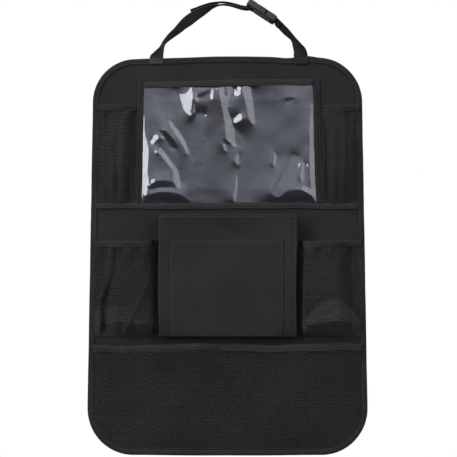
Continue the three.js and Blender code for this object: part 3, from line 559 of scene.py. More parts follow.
def settle(weight, slope_x, slope_z, held, level, step, rounds=900, enough=1e-8):
    """Heights whose slopes come closest to the wanted ones, by conjugate gradients."""
    side_weight = (weight[:, 1:] + weight[:, :-1]) / 2
    rise_weight = (weight[1:] + weight[:-1]) / 2
    side_want = side_weight * (slope_x[:, 1:] + slope_x[:, :-1]) / 2 * step
    rise_want = rise_weight * (slope_z[1:] + slope_z[:-1]) / 2 * step

    def spread(side, rise):
        total = np.zeros_like(weight)
        total[:, 1:] += side
        total[:, :-1] -= side
        total[1:] += rise
        total[:-1] -= rise
        return total

    def pull(h):
        return spread(side_weight * (h[:, 1:] - h[:, :-1]), rise_weight * (h[1:] - h[:-1]))

    heights = np.where(held, level, 0.0)
    rest = np.where(held, 0, spread(side_want, rise_want) - pull(heights))
    way = rest.copy()
    size = (rest ** 2).sum()
    for _ in range(rounds):
        turned = np.where(held, 0, pull(way))
        share = size / max((way * turned).sum(), 1e-12)
        heights += share * way
        rest -= share * turned
        next_size = (rest ** 2).sum()
        way = rest + way * next_size / max(size, 1e-12)
        size = next_size
        if size < enough:
            break
    return heights


WINDOW_LEFT, WINDOW_RIGHT = -121.0, 124.0
WINDOW_TOP = 250.0
BAND_TOP = 75.5
HEM_FOOT = WINDOW_TOP - 8.0
FILM_STEP = 1.75
FILM_LIP = 6.0
FILM_SWELL = 1.5
FILM_BACK = -3.35

# Places of the room that the film mirrors, in metres.
LEFT_WINDOW = (-1.5, -1.3, 0.4)
RIGHT_WINDOW = (1.6, -1.3, 0.3)
LEFT_SILL = (-1.5, -1.3, -0.05)
RIGHT_SILL = (1.6, -1.3, -0.1)
ROOM_FLOOR = (0.0, -1.2, -1.1)
SKIRTING = (0.0, -1.0, -0.5)
LEFT_CORNER = (-1.5, -0.9, -1.1)
RIGHT_WINDOW_TOP = (1.5, -1.4, 1.05)
UPPER_WALL = (0.0, -1.0, 0.5)
FAR_WALL = (0.0, -3.0, 0.0)

# Each facet of the creased film, by where the photograph shows it: what it mirrors, and a path of
# pixel places with the facet's half width there.
facets = [
    (LEFT_SILL, [(142.6, 112, 0.4), (143.2, 128, 1.1), (143.8, 138, 1.9), (145.4, 148, 4.2),
                 (144.8, 165, 3.8), (145.8, 181, 4.2), (144.8, 201, 3.6)]),
    (UPPER_WALL, [(158, 112, 3), (163, 122, 2.4)]),
    (FAR_WALL, [(192, 138, 1.6), (192.5, 152, 1.8)]),
    (LEFT_WINDOW, [(212.2, 91, 2), (212, 98, 2)]),
    (RIGHT_WINDOW, [(222, 90, 3.4), (224, 104, 2.6), (228, 122, 3.2), (232, 136, 6),
                    (234, 140, 4.2)]),
    (RIGHT_WINDOW, [(247, 90, 4.8), (250, 105, 3.6), (253, 120, 3)]),
    (RIGHT_WINDOW, [(231, 90, 3.4), (228, 104, 2)]),
    (LEFT_WINDOW, [(235.5, 121, 3.2), (240, 118, 3.4)]),
    (RIGHT_WINDOW, [(225, 144, 2), (226, 150, 1.2)]),
    (RIGHT_WINDOW, [(238.6, 156, 1.8), (237, 162, 2)]),
    (RIGHT_WINDOW, [(238.4, 172, 1.8), (236.5, 186, 3), (235.2, 201, 2.8)]),
    (RIGHT_WINDOW, [(275, 156, 1.9), (274, 165, 1.9)]),
    (RIGHT_WINDOW, [(302.6, 165, 1.8), (300.5, 179, 2)]),
    (RIGHT_SILL, [(313.6, 110, 1.2), (312.5, 132, 2.2), (312, 160, 3.4), (312, 178, 3.6),
                  (314.5, 201, 2.2)]),
    (LEFT_WINDOW, [(151.5, 141.5, 1.7), (157.5, 137, 2.2)]),
    (RIGHT_WINDOW_TOP, [(160, 151, 2.4), (167, 160, 2.6), (172, 166, 2.2)]),
    (RIGHT_WINDOW, [(176, 171, 3.2), (179, 183, 3.6)]),
    (RIGHT_WINDOW_TOP, [(169, 122, 1.4), (178, 134, 2.4), (184, 143, 2.2), (187, 152, 1.2)]),
    (UPPER_WALL, [(200, 116, 4), (201, 140, 4), (199, 162, 3.4), (197, 180, 3.4), (195, 200, 4)]),
    (UPPER_WALL, [(294, 160, 4), (286, 178, 6), (277, 192, 5)]),
    (LEFT_CORNER, [(163, 131, 1.4), (170, 139, 2.6), (175, 147, 1.6)]),
    (SKIRTING, [(199, 97, 1.4), (204, 93.5, 2.2), (208, 91, 1.4)]),
    (LEFT_WINDOW, [(184, 86, 8.5), (186, 98, 6.8), (187.5, 107, 5), (191, 114, 2)]),
    (SKIRTING, [(289, 101, 1.6), (294, 100, 1.4)]),
    (ROOM_FLOOR, [(152, 186.5, 2.2), (161, 183, 3.4), (171, 185, 3)]),
    (ROOM_FLOOR, [(149, 199, 4), (165, 197, 5), (178, 199, 4.6), (188, 202, 1.6)]),
    (ROOM_FLOOR, [(279, 202, 1.4), (288, 198, 4.6), (297, 195, 5.6), (306, 198, 4.6),
                  (311, 202, 1.6)]),
]


def lean(x, z):
    """The window is sewn on a little out of square: it is narrower at the top."""
    share = (z - BAND_TOP) / (WINDOW_TOP - BAND_TOP)
    left = 1.8 * share - 1.6 * (1 - share)
    right = -2.6 * share + 2.4 * (1 - share)
    across = (x - WINDOW_LEFT) / (WINDOW_RIGHT - WINDOW_LEFT)
    return x + left * (1 - across) + right * across


film_x = np.arange(WINDOW_LEFT - 4, WINDOW_RIGHT + 4.1, FILM_STEP)
film_z = np.arange(BAND_TOP - 3.5, WINDOW_TOP - 1, FILM_STEP)
X, Z = np.meshgrid(film_x, film_z)
weight = np.full(X.shape, 0.05)
slope_x = np.zeros(X.shape)
slope_z = np.zeros(X.shape)
for target, path in facets:
    want_x, want_z = facing(target, X, Z)
    for (x0, y0, r0), (x1, y1, r1) in zip(path, path[1:]):
        (ax, az), (bx, bz) = photo_place(x0, y0), photo_place(x1, y1)
        length = (bx - ax) ** 2 + (bz - az) ** 2
        t = np.clip(((X - ax) * (bx - ax) + (Z - az) * (bz - az)) / length, 0, 1)
        gap = np.hypot(X - ax - t * (bx - ax), Z - az - t * (bz - az))
        inside = gap < (r0 + (r1 - r0) * t) * PIXEL
        weight[inside] = 1.0
        slope_x[inside] = want_x[inside]
        slope_z[inside] = want_z[inside]
held = (X < WINDOW_LEFT) | (X > WINDOW_RIGHT) | (Z < BAND_TOP) | (Z > HEM_FOOT)
share = np.clip((X - WINDOW_LEFT) / (WINDOW_RIGHT - WINDOW_LEFT), 0, 1)
lip = FILM_LIP * np.sin(share * math.pi) ** 0.8
level = np.where((Z > HEM_FOOT) & (X > WINDOW_LEFT) & (X < WINDOW_RIGHT), lip, 0.0)
film_height = settle(weight, slope_x, slope_z, held, level, FILM_STEP)
crinkle = (0.72 * np.sin(X / 15 + 1.6 * np.sin(Z / 31)) * np.sin(Z / 33 + 0.4 * X / 17)
           + 0.27 * np.sin((X - 0.8 * Z) / 11 + 1.3 * np.sin(Z / 19)) * np.sin(X / 37 + 2)
           + 0.10 * np.sin((X + 0.6 * Z) / 7.0 + np.sin(Z / 12)))
edge_gap = np.minimum(np.minimum(X - WINDOW_LEFT, WINDOW_RIGHT - X),
                      np.minimum(Z - BAND_TOP, HEM_FOOT - Z))
calm = np.clip(edge_gap / 12, 0, 1) * (1 - np.clip(weight, 0, 1))
swell = FILM_SWELL * np.clip(edge_gap / 20, 0, 1)
film_height = np.where(held, film_height, film_height + swell + crinkle * calm)
film_depth = FILM_BACK - np.maximum(film_height, 0)
top_tilt = 2.2 * (X - 1.5) / 122 * np.clip((Z - BAND_TOP) / (WINDOW_TOP - BAND_TOP), 0, 1)
front = np.stack([lean(X, Z), film_depth, Z + top_tilt], axis=2) * MM

FILM_THICKNESS = 0.3
vinyl = new_material("clear_vinyl", Base_Color=(0.80, 0.82, 0.93, 1), Roughness=0.05, IOR=1.52,
                     Transmission_Weight=0.99)[0]
points, faces = closed_sheet(front, FILM_THICKNESS * MM)
film = add_mesh("clear_film", points, faces, vinyl)
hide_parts("window_film")


# Tapes round the window
# Flat woven tapes sewn over the film's edges with two rows of stitches: one down each side, one
# right across the panel under the window, and one folded over the film's free top edge.
hem_tape = woven_material("hem_tape", (0.0243, 0.0243, 0.0240), *TAPE_WEAVE)
side_tape = woven_material("side_tape", (0.0162, 0.0162, 0.0165), *TAPE_WEAVE)
RIGHTWARD = np.array((1.0, 0.0, 0.0))
OUTWARD = np.array((0.0, -1.0, 0.0))
UPWARD = np.array((0.0, 0.0, 1.0))
TAPE_WAVE = 0.25
TAPE_CROWN = 0.5
SEAM_PRESS = 0.7


def tape(name, middle, across, out, half_width, thickness, material, creases, seed):
    """A tape along a line of points in mm: its faces are square to `out` and its edges waver.
    A crease at a share of its width is a sewn line, where it is pressed in."""
    shares = sorted({-1.0, -0.96, -0.85, 0.85, 0.96, 1.0, *np.linspace(-0.7, 0.7, 9),
                     *[c + d for c in creases for d in (-0.06, 0.0, 0.06)]})
    run = run_along(middle)
    top, bottom = [], []
    for share in shares:
        rim = np.clip((1 - abs(share)) / 0.15, 0, 1) ** 0.5
        stand = thickness * (0.5 + 0.5 * rim) + TAPE_CROWN * (1 - share ** 2)
        for crease in creases:
            stand -= SEAM_PRESS * math.exp(-((share - crease) / 0.08) ** 2)
        waver = TAPE_WAVE * share * (np.sin(run / 19 + seed) + 0.6 * np.sin(run / 7.3 + 2 * seed))
        stand = stand + 0.15 * np.sin(run / 8 + 3 * share + seed) * np.sin(run / 27 + seed)
        spot = middle + across * (share * half_width + waver[:, None])
        top.append(spot + out * stand[:, None])
        bottom.append(spot + out * thickness * 0.1 * (1 - rim))
    ring = np.stack(top + bottom[::-1], axis=1)
    return add_mesh(name, ring.reshape(-1, 3) * MM, cord_faces(*ring.shape[:2], flip=True),
                    material)


TAPE_DEPTH = -4.0
TAPE_THICKNESS = 0.7
STRIP_HALF = 4.8
BAND_HALF = 4.25
BAND_END = 188
SEWN_ROWS = (-0.62, 0.62)
ROW_HALF = 5.0
ROW_LIFT = 0.75
for side, edge, word in ((-1, WINDOW_LEFT, "left"), (1, WINDOW_RIGHT, "right")):
    z = np.linspace(BAND_TOP - 1, WINDOW_TOP + 3, 70)
    x = lean(np.full_like(z, edge), z) + side * STRIP_HALF + 0.3 * np.sin(z / 33)
    middle = np.stack([x, np.full_like(z, TAPE_DEPTH), z], axis=1)
    strip = tape(f"side_tape_{word}", middle, RIGHTWARD, OUTWARD, STRIP_HALF, TAPE_THICKNESS,
                 side_tape, SEWN_ROWS, edge)
    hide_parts(f"window_strip_{word}")
    for row in SEWN_ROWS:
        sew(middle + RIGHTWARD * row * ROW_HALF + OUTWARD * ROW_LIFT)

x = np.linspace(-BAND_END, BAND_END, 150)
z = np.full_like(x, BAND_TOP - BAND_HALF) + 0.45 * np.sin(x / 41) + 0.25 * np.sin(x / 13)
middle = np.stack([x, np.full_like(x, TAPE_DEPTH), z], axis=1)
band = tape("cross_tape", middle, UPWARD, OUTWARD, BAND_HALF, TAPE_THICKNESS, hem_tape,
            SEWN_ROWS, 2.0)
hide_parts("cross_band")
for row in SEWN_ROWS:
    sew(middle + UPWARD * row * BAND_HALF + OUTWARD * 0.8)


def smoothed(line, times):
    """A line whose inner values are drawn towards their neighbours' a number of times."""
    line = line.copy()
    for _ in range(times):
        line[1:-1] = (line[:-2] + 2 * line[1:-1] + line[2:]) / 4
    return line


def hem(name, node, half_width, x_range, seed, thickness=1.7, rows=(-0.7,), waver=0.3,
        sag=0.0, tilt=0.0, droop=0.0, steep=None, cloth=hem_tape, steps=90):
    """A tape folded over a pocket's free edge, where the CAD hem stands, and its seam."""
    _, _, foot, top = edges_of(node)
    centre = (foot + top) / 2
    stand = relief(node)
    x = np.linspace(*x_range, steps)
    share = np.linspace(0, math.pi, steps)
    z = centre + waver * (np.sin(x / 29 + seed) + 0.5 * np.sin(x / 11 + 2 * seed))
    z += tilt * (share / math.pi * 2 - 1) - sag * np.sin(share) - droop * bump(share, 0, 0.5)
    y = stand(steep(x) if steep else x, np.full_like(x, centre)) + thickness
    middle = np.stack([x, smoothed(y, 6), z], axis=1)
    out = unit(np.cross(np.gradient(middle, axis=0), UPWARD))
    made = tape(name, middle, UPWARD, out, half_width, thickness, cloth, rows, seed)
    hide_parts(node)
    for row in rows:
        sew(middle + UPWARD * row * half_width + out * (thickness + 0.05))


hem("window_top_hem", "window_hem", BAND_HALF, (WINDOW_LEFT + 1.5, WINDOW_RIGHT - 2.5), 1.0,
    tilt=2.2)


# Net pockets
# Warp-knitted polyester net with six-sided meshes under 4 mm across. Each pocket is one piece,
# sewn under the tapes and the binding, and gathered where it is fuller than its seam.
YARN_WEAVE = (5200, 0.08 * MM, 0.1)
net_yarn = woven_material("net_yarn", (0.034, 0.034, 0.035), *YARN_WEAVE)
# A darker copy of the net yarn for the middle left net: painted shade for the shade that side lies
# in.
shaded_net_yarn = woven_material("shaded_net_yarn", (0.0255, 0.0255, 0.0265), *YARN_WEAVE)
MESH = 3.6
YARN = 1.15
NET_THICKNESS = 0.9
# how far in front of the rear face a net lies at the least, in mm
NET_REST = -4.1
SEAM_FADE = 9
BINDING_TUCK = 1.5
STRIP_TUCK = 4


def knit(name, node, width, length, place, cut=None, closed=None, yarn=net_yarn):
    """Knits a net over a flat cut of width by length in mm. `place` lays flat places on the
    object and gives their front points in mm; `cut` gives the cut's ends at each height, and
    `closed` how far the meshes close up at places where the net is gathered."""
    row_pitch = MESH * math.sqrt(3) / 2
    rows = int(length / row_pitch) + 2
    columns = int(width / MESH) + 2
    centres = np.array([((i + 0.5 * (j % 2)) * MESH - MESH / 2, j * row_pitch)
                        for j in range(rows) for i in range(columns)])
    if cut is None:
        def cut(t):
            return np.zeros_like(t), np.full_like(t, width)
    start, end = cut(centres[:, 1])
    inside = (centres[:, 0] > start) & (centres[:, 0] < end) & (centres[:, 1] < length)
    centres = centres[inside]
    angles = np.arange(6) * math.pi / 3 + math.pi / 6
    circle = np.stack([np.cos(angles), np.sin(angles)], axis=1)
    outer = centres[:, None] + circle * MESH / math.sqrt(3)
    keys = np.round(outer.reshape(-1, 2) / (MESH / 12)).astype(int)
    _, first, index = np.unique(keys, axis=0, return_index=True, return_inverse=True)
    index = index.reshape(-1, 6)
    shared = outer.reshape(-1, 2)[first]
    hole = np.full(len(centres), (MESH - YARN) / math.sqrt(3))
    if closed:
        spots = place(centres[:, 0], centres[:, 1])
        hole *= 1 - 0.75 * closed(spots[:, 0], spots[:, 2])
    inner = (centres[:, None] + circle * hole[:, None, None]).reshape(-1, 2)

    def trimmed(flat):
        up = np.clip(flat[:, 1], 0, length)
        start, end = cut(up)
        return np.stack([np.clip(flat[:, 0], start, end), up], axis=1)

    def lifted(flat, lift, step=0.5):
        s, t = flat.T
        right = place(s + step, t) - place(s - step, t)
        up = place(s, t + step) - place(s, t - step)
        return place(s, t) + unit(np.cross(right, up), 1e-9) * lift

    shared, inner = trimmed(shared), trimmed(inner)
    front = lifted(shared, 0.0)
    back = lifted(shared, -NET_THICKNESS)
    middle = lifted(inner, -NET_THICKNESS / 2)
    count = len(shared)
    cells = np.arange(len(centres))[:, None] * 6 + np.arange(6) + 2 * count
    faces = []
    for ring, rim in zip(index, cells):
        for k in range(6):
            m = (k + 1) % 6
            faces.append([ring[k], ring[m], rim[m], rim[k]])
            faces.append([count + ring[m], count + ring[k], rim[k], rim[m]])
    pairs = np.stack([index, np.roll(index, -1, axis=1)], axis=2).reshape(-1, 2)
    ordered = np.sort(pairs, axis=1)
    _, seen, copies = np.unique(ordered, axis=0, return_index=True, return_counts=True)
    for a, b in pairs[seen[copies == 1]]:
        faces.append([b, a, count + a, count + b])
    points = np.concatenate([front, back, middle]) * MM
    net = add_mesh(name, points, faces, yarn)
    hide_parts(node)


def drape(stand, x_edges, z_edges, folds):
    """Lays a net on a relief by its length across and up the middle, with folds added."""
    xs = np.linspace(*x_edges, 200)
    zs = np.linspace(*z_edges, 200)
    middle_x = (x_edges[0] + x_edges[1]) / 2
    waist_z = z_edges[0] + 0.55 * (z_edges[1] - z_edges[0])
    run_x = run_along(np.stack([xs, stand(xs, np.full_like(xs, waist_z))], axis=1))
    run_z = run_along(np.stack([zs, stand(np.full_like(zs, middle_x), zs)], axis=1))

    def place(s, t):
        x = np.interp(s, run_x, xs)
        z = np.interp(t, run_z, zs)
        x = x + np.where(s < 0, s, 0) + np.where(s > run_x[-1], s - run_x[-1], 0)
        z = z + np.where(t < 0, t, 0) + np.where(t > run_z[-1], t - run_z[-1], 0)
        fade_x = np.clip(np.minimum(x - x_edges[0], x_edges[1] - x) / SEAM_FADE, 0, 1)
        fade_z = np.clip(np.minimum(z - z_edges[0], z_edges[1] - z) / SEAM_FADE, 0, 1)
        y = np.minimum(stand(x, z) - folds(x, z) * (fade_x * fade_z), NET_REST)
        return np.stack([x, y, z], axis=1)
    return place, run_x[-1], run_z[-1]


def upper_folds(side):
    """A pleat runs down beside the window, and the net is ruffled under its hem."""
    def folds(x, z):
        away = side * x
        crease = 138.5 + 2.5 * np.clip((200 - z) / 60, 0, 1)
        crease -= 16 * np.clip((z - 165) / 60, 0, 1) ** 2
        dy = 5.0 * bump(away, crease + 9, 6) - 7.0 * bump(away, crease + 1.5, 3.2)
        dy += 3.5 * bump(away, 163, 4) * bump(z, 120, 60) - 2.6 * bump(away, 171, 3)
        dy += 2.2 * np.sin(away / 3.4 + z / 37) * bump(z, 215, 16)
        return dy + (0.9 * np.sin(z / 9 + away / 5) + 1.2 * np.sin(away / 6 - z / 48))
    return folds


def reach(node, side, outer, inner):
    """The ends across of a CAD solid left or right of the middle, moved out at either end."""
    left, right, _, _ = edges_of(node)
    return (left - outer, right + inner) if side < 0 else (left - inner, right + outer)


def hem_reach(node, side):
    """A hem goes under the binding, and stops just short of what stands in the middle."""
    return reach(node, side, 1.2, -0.3)


for side, word in ((-1, "left"), (1, "right")):
    node = f"upper_net_{word}"
    _, _, foot, top = edges_of(node)
    place, width, length = drape(relief(node), reach(node, side, BINDING_TUCK, STRIP_TUCK),
                                 (foot - 1, top - 1.5), upper_folds(side))
    knit(f"upper_pocket_{word}", node, width, length, place)
    hem(f"upper_hem_{word}_tape", f"upper_hem_{word}", BAND_HALF, hem_reach(node, side),
        3.0 + side, sag=0.4, cloth=side_tape)


POCKET_SIDE = 104.3
MIDDLE_FLOOR = -114.0
NET_SEAM = -3.2


def steepened(x):
    """The middle nets stand up steeply beside the bellows pocket."""
    inner = np.abs(x) - POCKET_SIDE
    return np.sign(x) * (np.abs(x) + 13 * (1 - np.exp(-np.maximum(inner, 0) / 2.6)))


def bag_lip(x):
    """How high the bag's floor turns up into its front, in mm."""
    return MIDDLE_FLOOR + 20 + 2.2 * np.sin(np.abs(x) / 11)


def middle_wall(stand):
    """The middle nets hang over their seam in a bag, with a floor that slopes back under it."""
    def wall(x, z):
        above = stand(steepened(x), np.maximum(z, MIDDLE_FLOOR + 28))
        above = above - 5.0 * bump(z, bag_lip(x), 9)
        share = np.clip((z - MIDDLE_FLOOR) / (bag_lip(x) - MIDDLE_FLOOR), 0, 1)
        return NET_SEAM + (above - NET_SEAM) * share
    return wall


def net_arch(x):
    """The arched top of the slack over the right net's seam."""
    return -66 - 26 * ((x - 150) / 38) ** 2


def left_closed(x, z):
    """The meshes close up on the bag's floor, and in the slack beside the binding."""
    slack = bump(x, -178, 14) * bump(z, -82, 9)
    return np.clip(1 / (1 + np.exp((z - bag_lip(x)) / 1.5)) + 0.8 * slack, 0, 1)


def right_closed(x, z):
    """The meshes close up in the lobe over the seam."""
    return 0.6 / (1 + np.exp((z - net_arch(x)) / 3))


def left_folds(x, z):
    """A light fold sweeps down and out to the binding, and a ridge runs in to the seam."""
    sweep = 161.5 + 16 * np.clip((-15 - z) / 50, 0, 1) ** 1.3
    dy = 6.0 * bump(-x, sweep + 5, 5) - 3.2 * bump(-x, sweep - 3, 4)
    ridge = 114.8 + 0.466 * (-41.6 - z)
    dy += 4.5 * bump(-x, ridge, 3.5) * np.clip((-30 - z) / 15, 0, 1)
    dy += 2.4 * np.sin(-x / 3.6 + z / 40) * bump(z, 4, 14)
    dy += 3.0 * bump(z, -80, 7) * bump(-x, 168, 16) - 3.0 * bump(z, -70, 5) * bump(-x, 150, 20)
    return dy + 0.8 * np.sin(z / 10 + x / 6)


def right_folds(x, z):
    """The net's slack lies over its seam in one lobe with an arched top."""
    arch = net_arch(x)
    dy = 6.0 / (1 + np.exp((z - arch) / 2.4)) - 3.0 * bump(z, arch + 7, 5)
    dy += 2.5 * bump(x, 179, 4) + 2.0 * bump(x, 110, 4)
    dy += 2.4 * np.sin(x / 3.6 + z / 40) * bump(z, 4, 14)
    dy += 2.0 * bump(z, arch - 14, 4) * np.sin(x / 6)
    return dy + 0.8 * np.sin(z / 10 + x / 6)


for side, word, folds, closed, yarn in ((-1, "left", left_folds, left_closed, shaded_net_yarn),
                                        (1, "right", right_folds, right_closed, net_yarn)):
    node = f"middle_net_{word}"
    _, _, foot, top = edges_of(node)
    place, width, length = drape(middle_wall(relief(node)), reach(node, side, BINDING_TUCK, 0),
                                 (foot, top - 1.5), folds)
    knit(f"middle_pocket_{word}", node, width, length, place, closed=closed, yarn=yarn)
    hem(f"middle_hem_{word}_tape", f"middle_hem_{word}", 5.0, hem_reach(node, side),
        6.0 + side, rows=(-0.7, 0.6), waver=0.9, sag=0.6, steep=steepened, cloth=side_tape)


# Bellows pocket
# A flat front of panel cloth on a pleated gusset, so it opens like a box. A second, flat pocket
# is sewn on its front. Both mouths are turned over once and stitched.
pocket_cloth = woven_material("pocket_cloth", (0.0195, 0.0195, 0.021), *CLOTH_WEAVE)
front_at = relief("bellows_front", step=4.0, passes=3)
FRONT_LEFT, FRONT_RIGHT, FRONT_FLOOR, FRONT_TOP = edges_of("bellows_front")
FRONT_THICKNESS = 0.9
FRONT_HEM = 5.5
HEM_FOLD = 0.4
SEAM_INSET = 2.2
FLOOR_TUCK = 6.0


def front_folds(x, z):
    """Soft folds that the pocket's front keeps from packing."""
    u = (x - FRONT_LEFT) / (FRONT_RIGHT - FRONT_LEFT)
    v = (z - FRONT_FLOOR) / (FRONT_TOP - FRONT_FLOOR)
    fold = 1.1 * np.sin(x / 21 + 0.8) * np.sin(z / 47) + 0.8 * np.sin((x - z) / 33)
    fold += 0.5 * np.sin((x + 1.4 * z) / 13) * bump(z, 30, 25)
    roll = 0.9 * bump(x, FRONT_RIGHT - 9, 4) + 0.7 * bump(x, FRONT_LEFT + 8, 4)
    folds = (fold + roll) * np.clip(12 * u * (1 - u), 0, 1) * np.clip(10 * v, 0, 1)
    return folds - FLOOR_TUCK * np.exp(-(z - FRONT_FLOOR) / 14)


xs = np.linspace(FRONT_LEFT, FRONT_RIGHT, 120)
zs = np.linspace(FRONT_FLOOR, FRONT_TOP, 110)
X, Z = np.meshgrid(xs, zs)
off_middle = np.abs(2 * (X - FRONT_LEFT) / (FRONT_RIGHT - FRONT_LEFT) - 1)
edge_wave = 0.9 * np.sin(Z / 27) * off_middle ** 6
turned = HEM_FOLD / (1 + np.exp(-(Z - (FRONT_TOP - FRONT_HEM)) * 2))
Y = front_at(X, Z) - front_folds(X, Z) - turned
front = np.stack([X + edge_wave, Y, Z], axis=2) * MM
points, faces = closed_sheet(front, FRONT_THICKNESS * MM)
bellows = add_mesh("bellows_face", points, faces, pocket_cloth)
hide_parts("bellows_front")


def sew_front(path, lift=0.0):
    """Stitches along places on the bellows pocket's front."""
    path = np.asarray(path, float)
    run = run_along(path)
    fine = np.linspace(0, run[-1], max(int(run[-1] / 4), 2))
    x = np.interp(fine, run, path[:, 0])
    z = np.interp(fine, run, path[:, 1])
    sew(np.stack([x, front_at(x, z) - front_folds(x, z) - 0.1 - lift, z], axis=1))


hem_row = FRONT_TOP - FRONT_HEM + 1
sew_front([(FRONT_LEFT + 3, hem_row), (FRONT_RIGHT - 3, hem_row)], lift=HEM_FOLD)
for x in (FRONT_LEFT + SEAM_INSET, FRONT_RIGHT - SEAM_INSET):
    sew_front([(x, FRONT_TOP - 2), (x, FRONT_FLOOR + 2)])

patch_at = relief("patch_pocket", step=4.0)
PATCH_LEFT, PATCH_RIGHT, PATCH_FLOOR, PATCH_TOP = edges_of("patch_pocket")
PATCH_THICKNESS = 0.6
PATCH_SWELL = 0.55
xs = np.linspace(PATCH_LEFT, PATCH_RIGHT, 100)
zs = np.linspace(PATCH_FLOOR, PATCH_TOP, 90)
X, Z = np.meshgrid(xs, zs)
u = (X - PATCH_LEFT) / (PATCH_RIGHT - PATCH_LEFT)
rim = np.clip(np.minimum(u, 1 - u) * 20, 0, 1)
under = front_at(X, Z) - front_folds(X, Z) - 0.75
swollen = np.minimum(patch_at(X, Z), under)
Y = under * (1 - rim) + (swollen * PATCH_SWELL + under * (1 - PATCH_SWELL) - 0.4) * rim
Y -= 0.25 / (1 + np.exp(-(Z - (PATCH_TOP - 6)) * 2))
front = np.stack([X, Y, Z], axis=2) * MM
points, faces = closed_sheet(front, PATCH_THICKNESS * MM)
patch = add_mesh("patch_face", points, faces, pocket_cloth)
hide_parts("patch_pocket")
patch_line = [(PATCH_LEFT + 2, PATCH_TOP - 1), (PATCH_LEFT + 2, PATCH_FLOOR + 2),
              (PATCH_RIGHT - 2, PATCH_FLOOR + 2), (PATCH_RIGHT - 2, PATCH_TOP - 1)]
sew_front(patch_line, lift=0.9)
x = np.linspace(PATCH_LEFT + 3, PATCH_RIGHT - 3, 60)
inset_row = np.interp(x, xs, Y[-4]) - 0.1
sew(np.stack([x, inset_row, np.full_like(x, zs[-4])], axis=1))

# The gusset: one strip pleated outward, from one mouth round the pocket's floor to the other.
# Its pleat is drawn as how far in from the gusset's outside, and how far out from the panel.
GUSSET_LEFT, GUSSET_RIGHT, GUSSET_FLOOR, GUSSET_TOP = edges_of("bellows_gusset")
GUSSET_HALF = 0.4
MOUTH_DEPTH, SEAM_DEPTH = 21.0, 15.0 - FLOOR_TUCK
FLOOR_SINK = 5.0
SINK_START = 3
FLOOR_MARGIN = 0.1
pleat = [(16.0, 0.7), (8.0, 0.7), (6.8, 1.1), (7.0, 2.2), (9.0, 4.6), (12.6, 8.0), (13.6, 9.3),
         (13.8, 10.6), (12.8, 11.7), (10.0, 14.0), (8.0, 16.2), (7.4, 18.4), (7.8, 19.6),
         (9.0, 20.3), (14.0, 20.4)]
upright = np.linspace(0, 1, 44)
stations = [("left", 1 - share) for share in upright]
stations += [("floor", share) for share in np.linspace(0, 1, 50)[1:-1]]
stations += [("right", share) for share in upright]
sides = []
for face in (-GUSSET_HALF, GUSSET_HALF):
    rows = []
    for where, share in stations:
        row = []
        for k, (inset, depth) in enumerate(pleat):
            before, after = pleat[max(k - 1, 0)], pleat[min(k + 1, len(pleat) - 1)]
            way = unit(np.subtract(after, before))
            inner = inset - way[1] * face
            out = depth + way[0] * face
            sunk = FLOOR_SINK * min(out / MOUTH_DEPTH, 1) if out > SINK_START else 0.0
            z = GUSSET_FLOOR + GUSSET_HALF + max(inner - sunk, FLOOR_MARGIN)
            if where == "floor":
                x = GUSSET_LEFT + inner + share * (GUSSET_RIGHT - GUSSET_LEFT - 2 * inner)
                spread = SEAM_DEPTH
            else:
                x = GUSSET_LEFT + inner if where == "left" else GUSSET_RIGHT - inner
                z += share * (GUSSET_TOP - z)
                spread = SEAM_DEPTH + (MOUTH_DEPTH - SEAM_DEPTH) * share
            row.append((x, PANEL_FRONT - out * (spread / MOUTH_DEPTH), z))
        rows.append(row)
    sides.append(np.array(rows))
ring = np.concatenate([sides[0], sides[1][:, ::-1]], axis=1)
gusset = add_mesh("gusset", ring.reshape(-1, 3) * MM, cord_faces(*ring.shape[:2]), pocket_cloth)
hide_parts("bellows_gusset")


# Bottom net pocket
# One wide net as broad as the panel, sewn under the binding round both corners and down its
# middle, with a tape folded over its mouth.
LOWER_REACH = 194.0
LOWER_INSET = 7.4
CORNER_FADE = 10
_, _, NET_FLOOR, net_top = edges_of("lower_net")
NET_MOUTH = net_top - 1.5
lower_at = relief("lower_net")
lower_rows, lower_widths = panel_rows(LOWER_INSET, PANEL_ROWS, CORNER_ROWS)
lower_widths, lower_rows = panel_edge(lower_widths, lower_rows)


def lower_half(z):
    """Half width of the bottom net, which follows the panel's corners, in mm."""
    return np.interp(z, lower_rows, lower_widths)


def lower_folds(x, z):
    """Slow folds, a fuller one at the left under the mouth, and a seam down the middle."""
    dy = 1.4 * np.sin(x / 26 + 0.7) * bump(z, -170, 45)
    dy += 9.0 * bump(z, -126, 36) * np.clip(-x / 50, 0, 1) * np.clip((-z - 124) / 6, 0, 1)
    dy += 1.1 * np.sin(x / 8.0 + z / 30) * bump(z, -140, 12)
    return dy * np.clip(np.abs(x) / 12, 0, 1)


zs = np.linspace(NET_FLOOR, NET_MOUTH, 200)
lower_run = run_along(np.stack([zs, lower_at(np.full_like(zs, 90.0), zs)], axis=1))


def lower_half_net(side):
    """How one half of the bottom net is laid and cut; the flat cut starts at its left."""
    origin = -LOWER_REACH if side < 0 else 0.0

    def place(s, t):
        z = np.interp(t, lower_run, zs) + np.where(t < 0, t, 0)
        x = s + origin
        half = lower_half(z)
        fade = np.clip((half - np.abs(x)) / CORNER_FADE, 0, 1)
        fade *= np.clip((z - NET_FLOOR) / CORNER_FADE, 0, 1)
        return np.stack([x, lower_at(x, z) - lower_folds(x, z) * fade, z], axis=1)

    def cut(t):
        half = lower_half(np.interp(t, lower_run, zs))
        if side < 0:
            return LOWER_REACH - half, np.full_like(half, LOWER_REACH)
        return np.zeros_like(half), half
    return place, cut
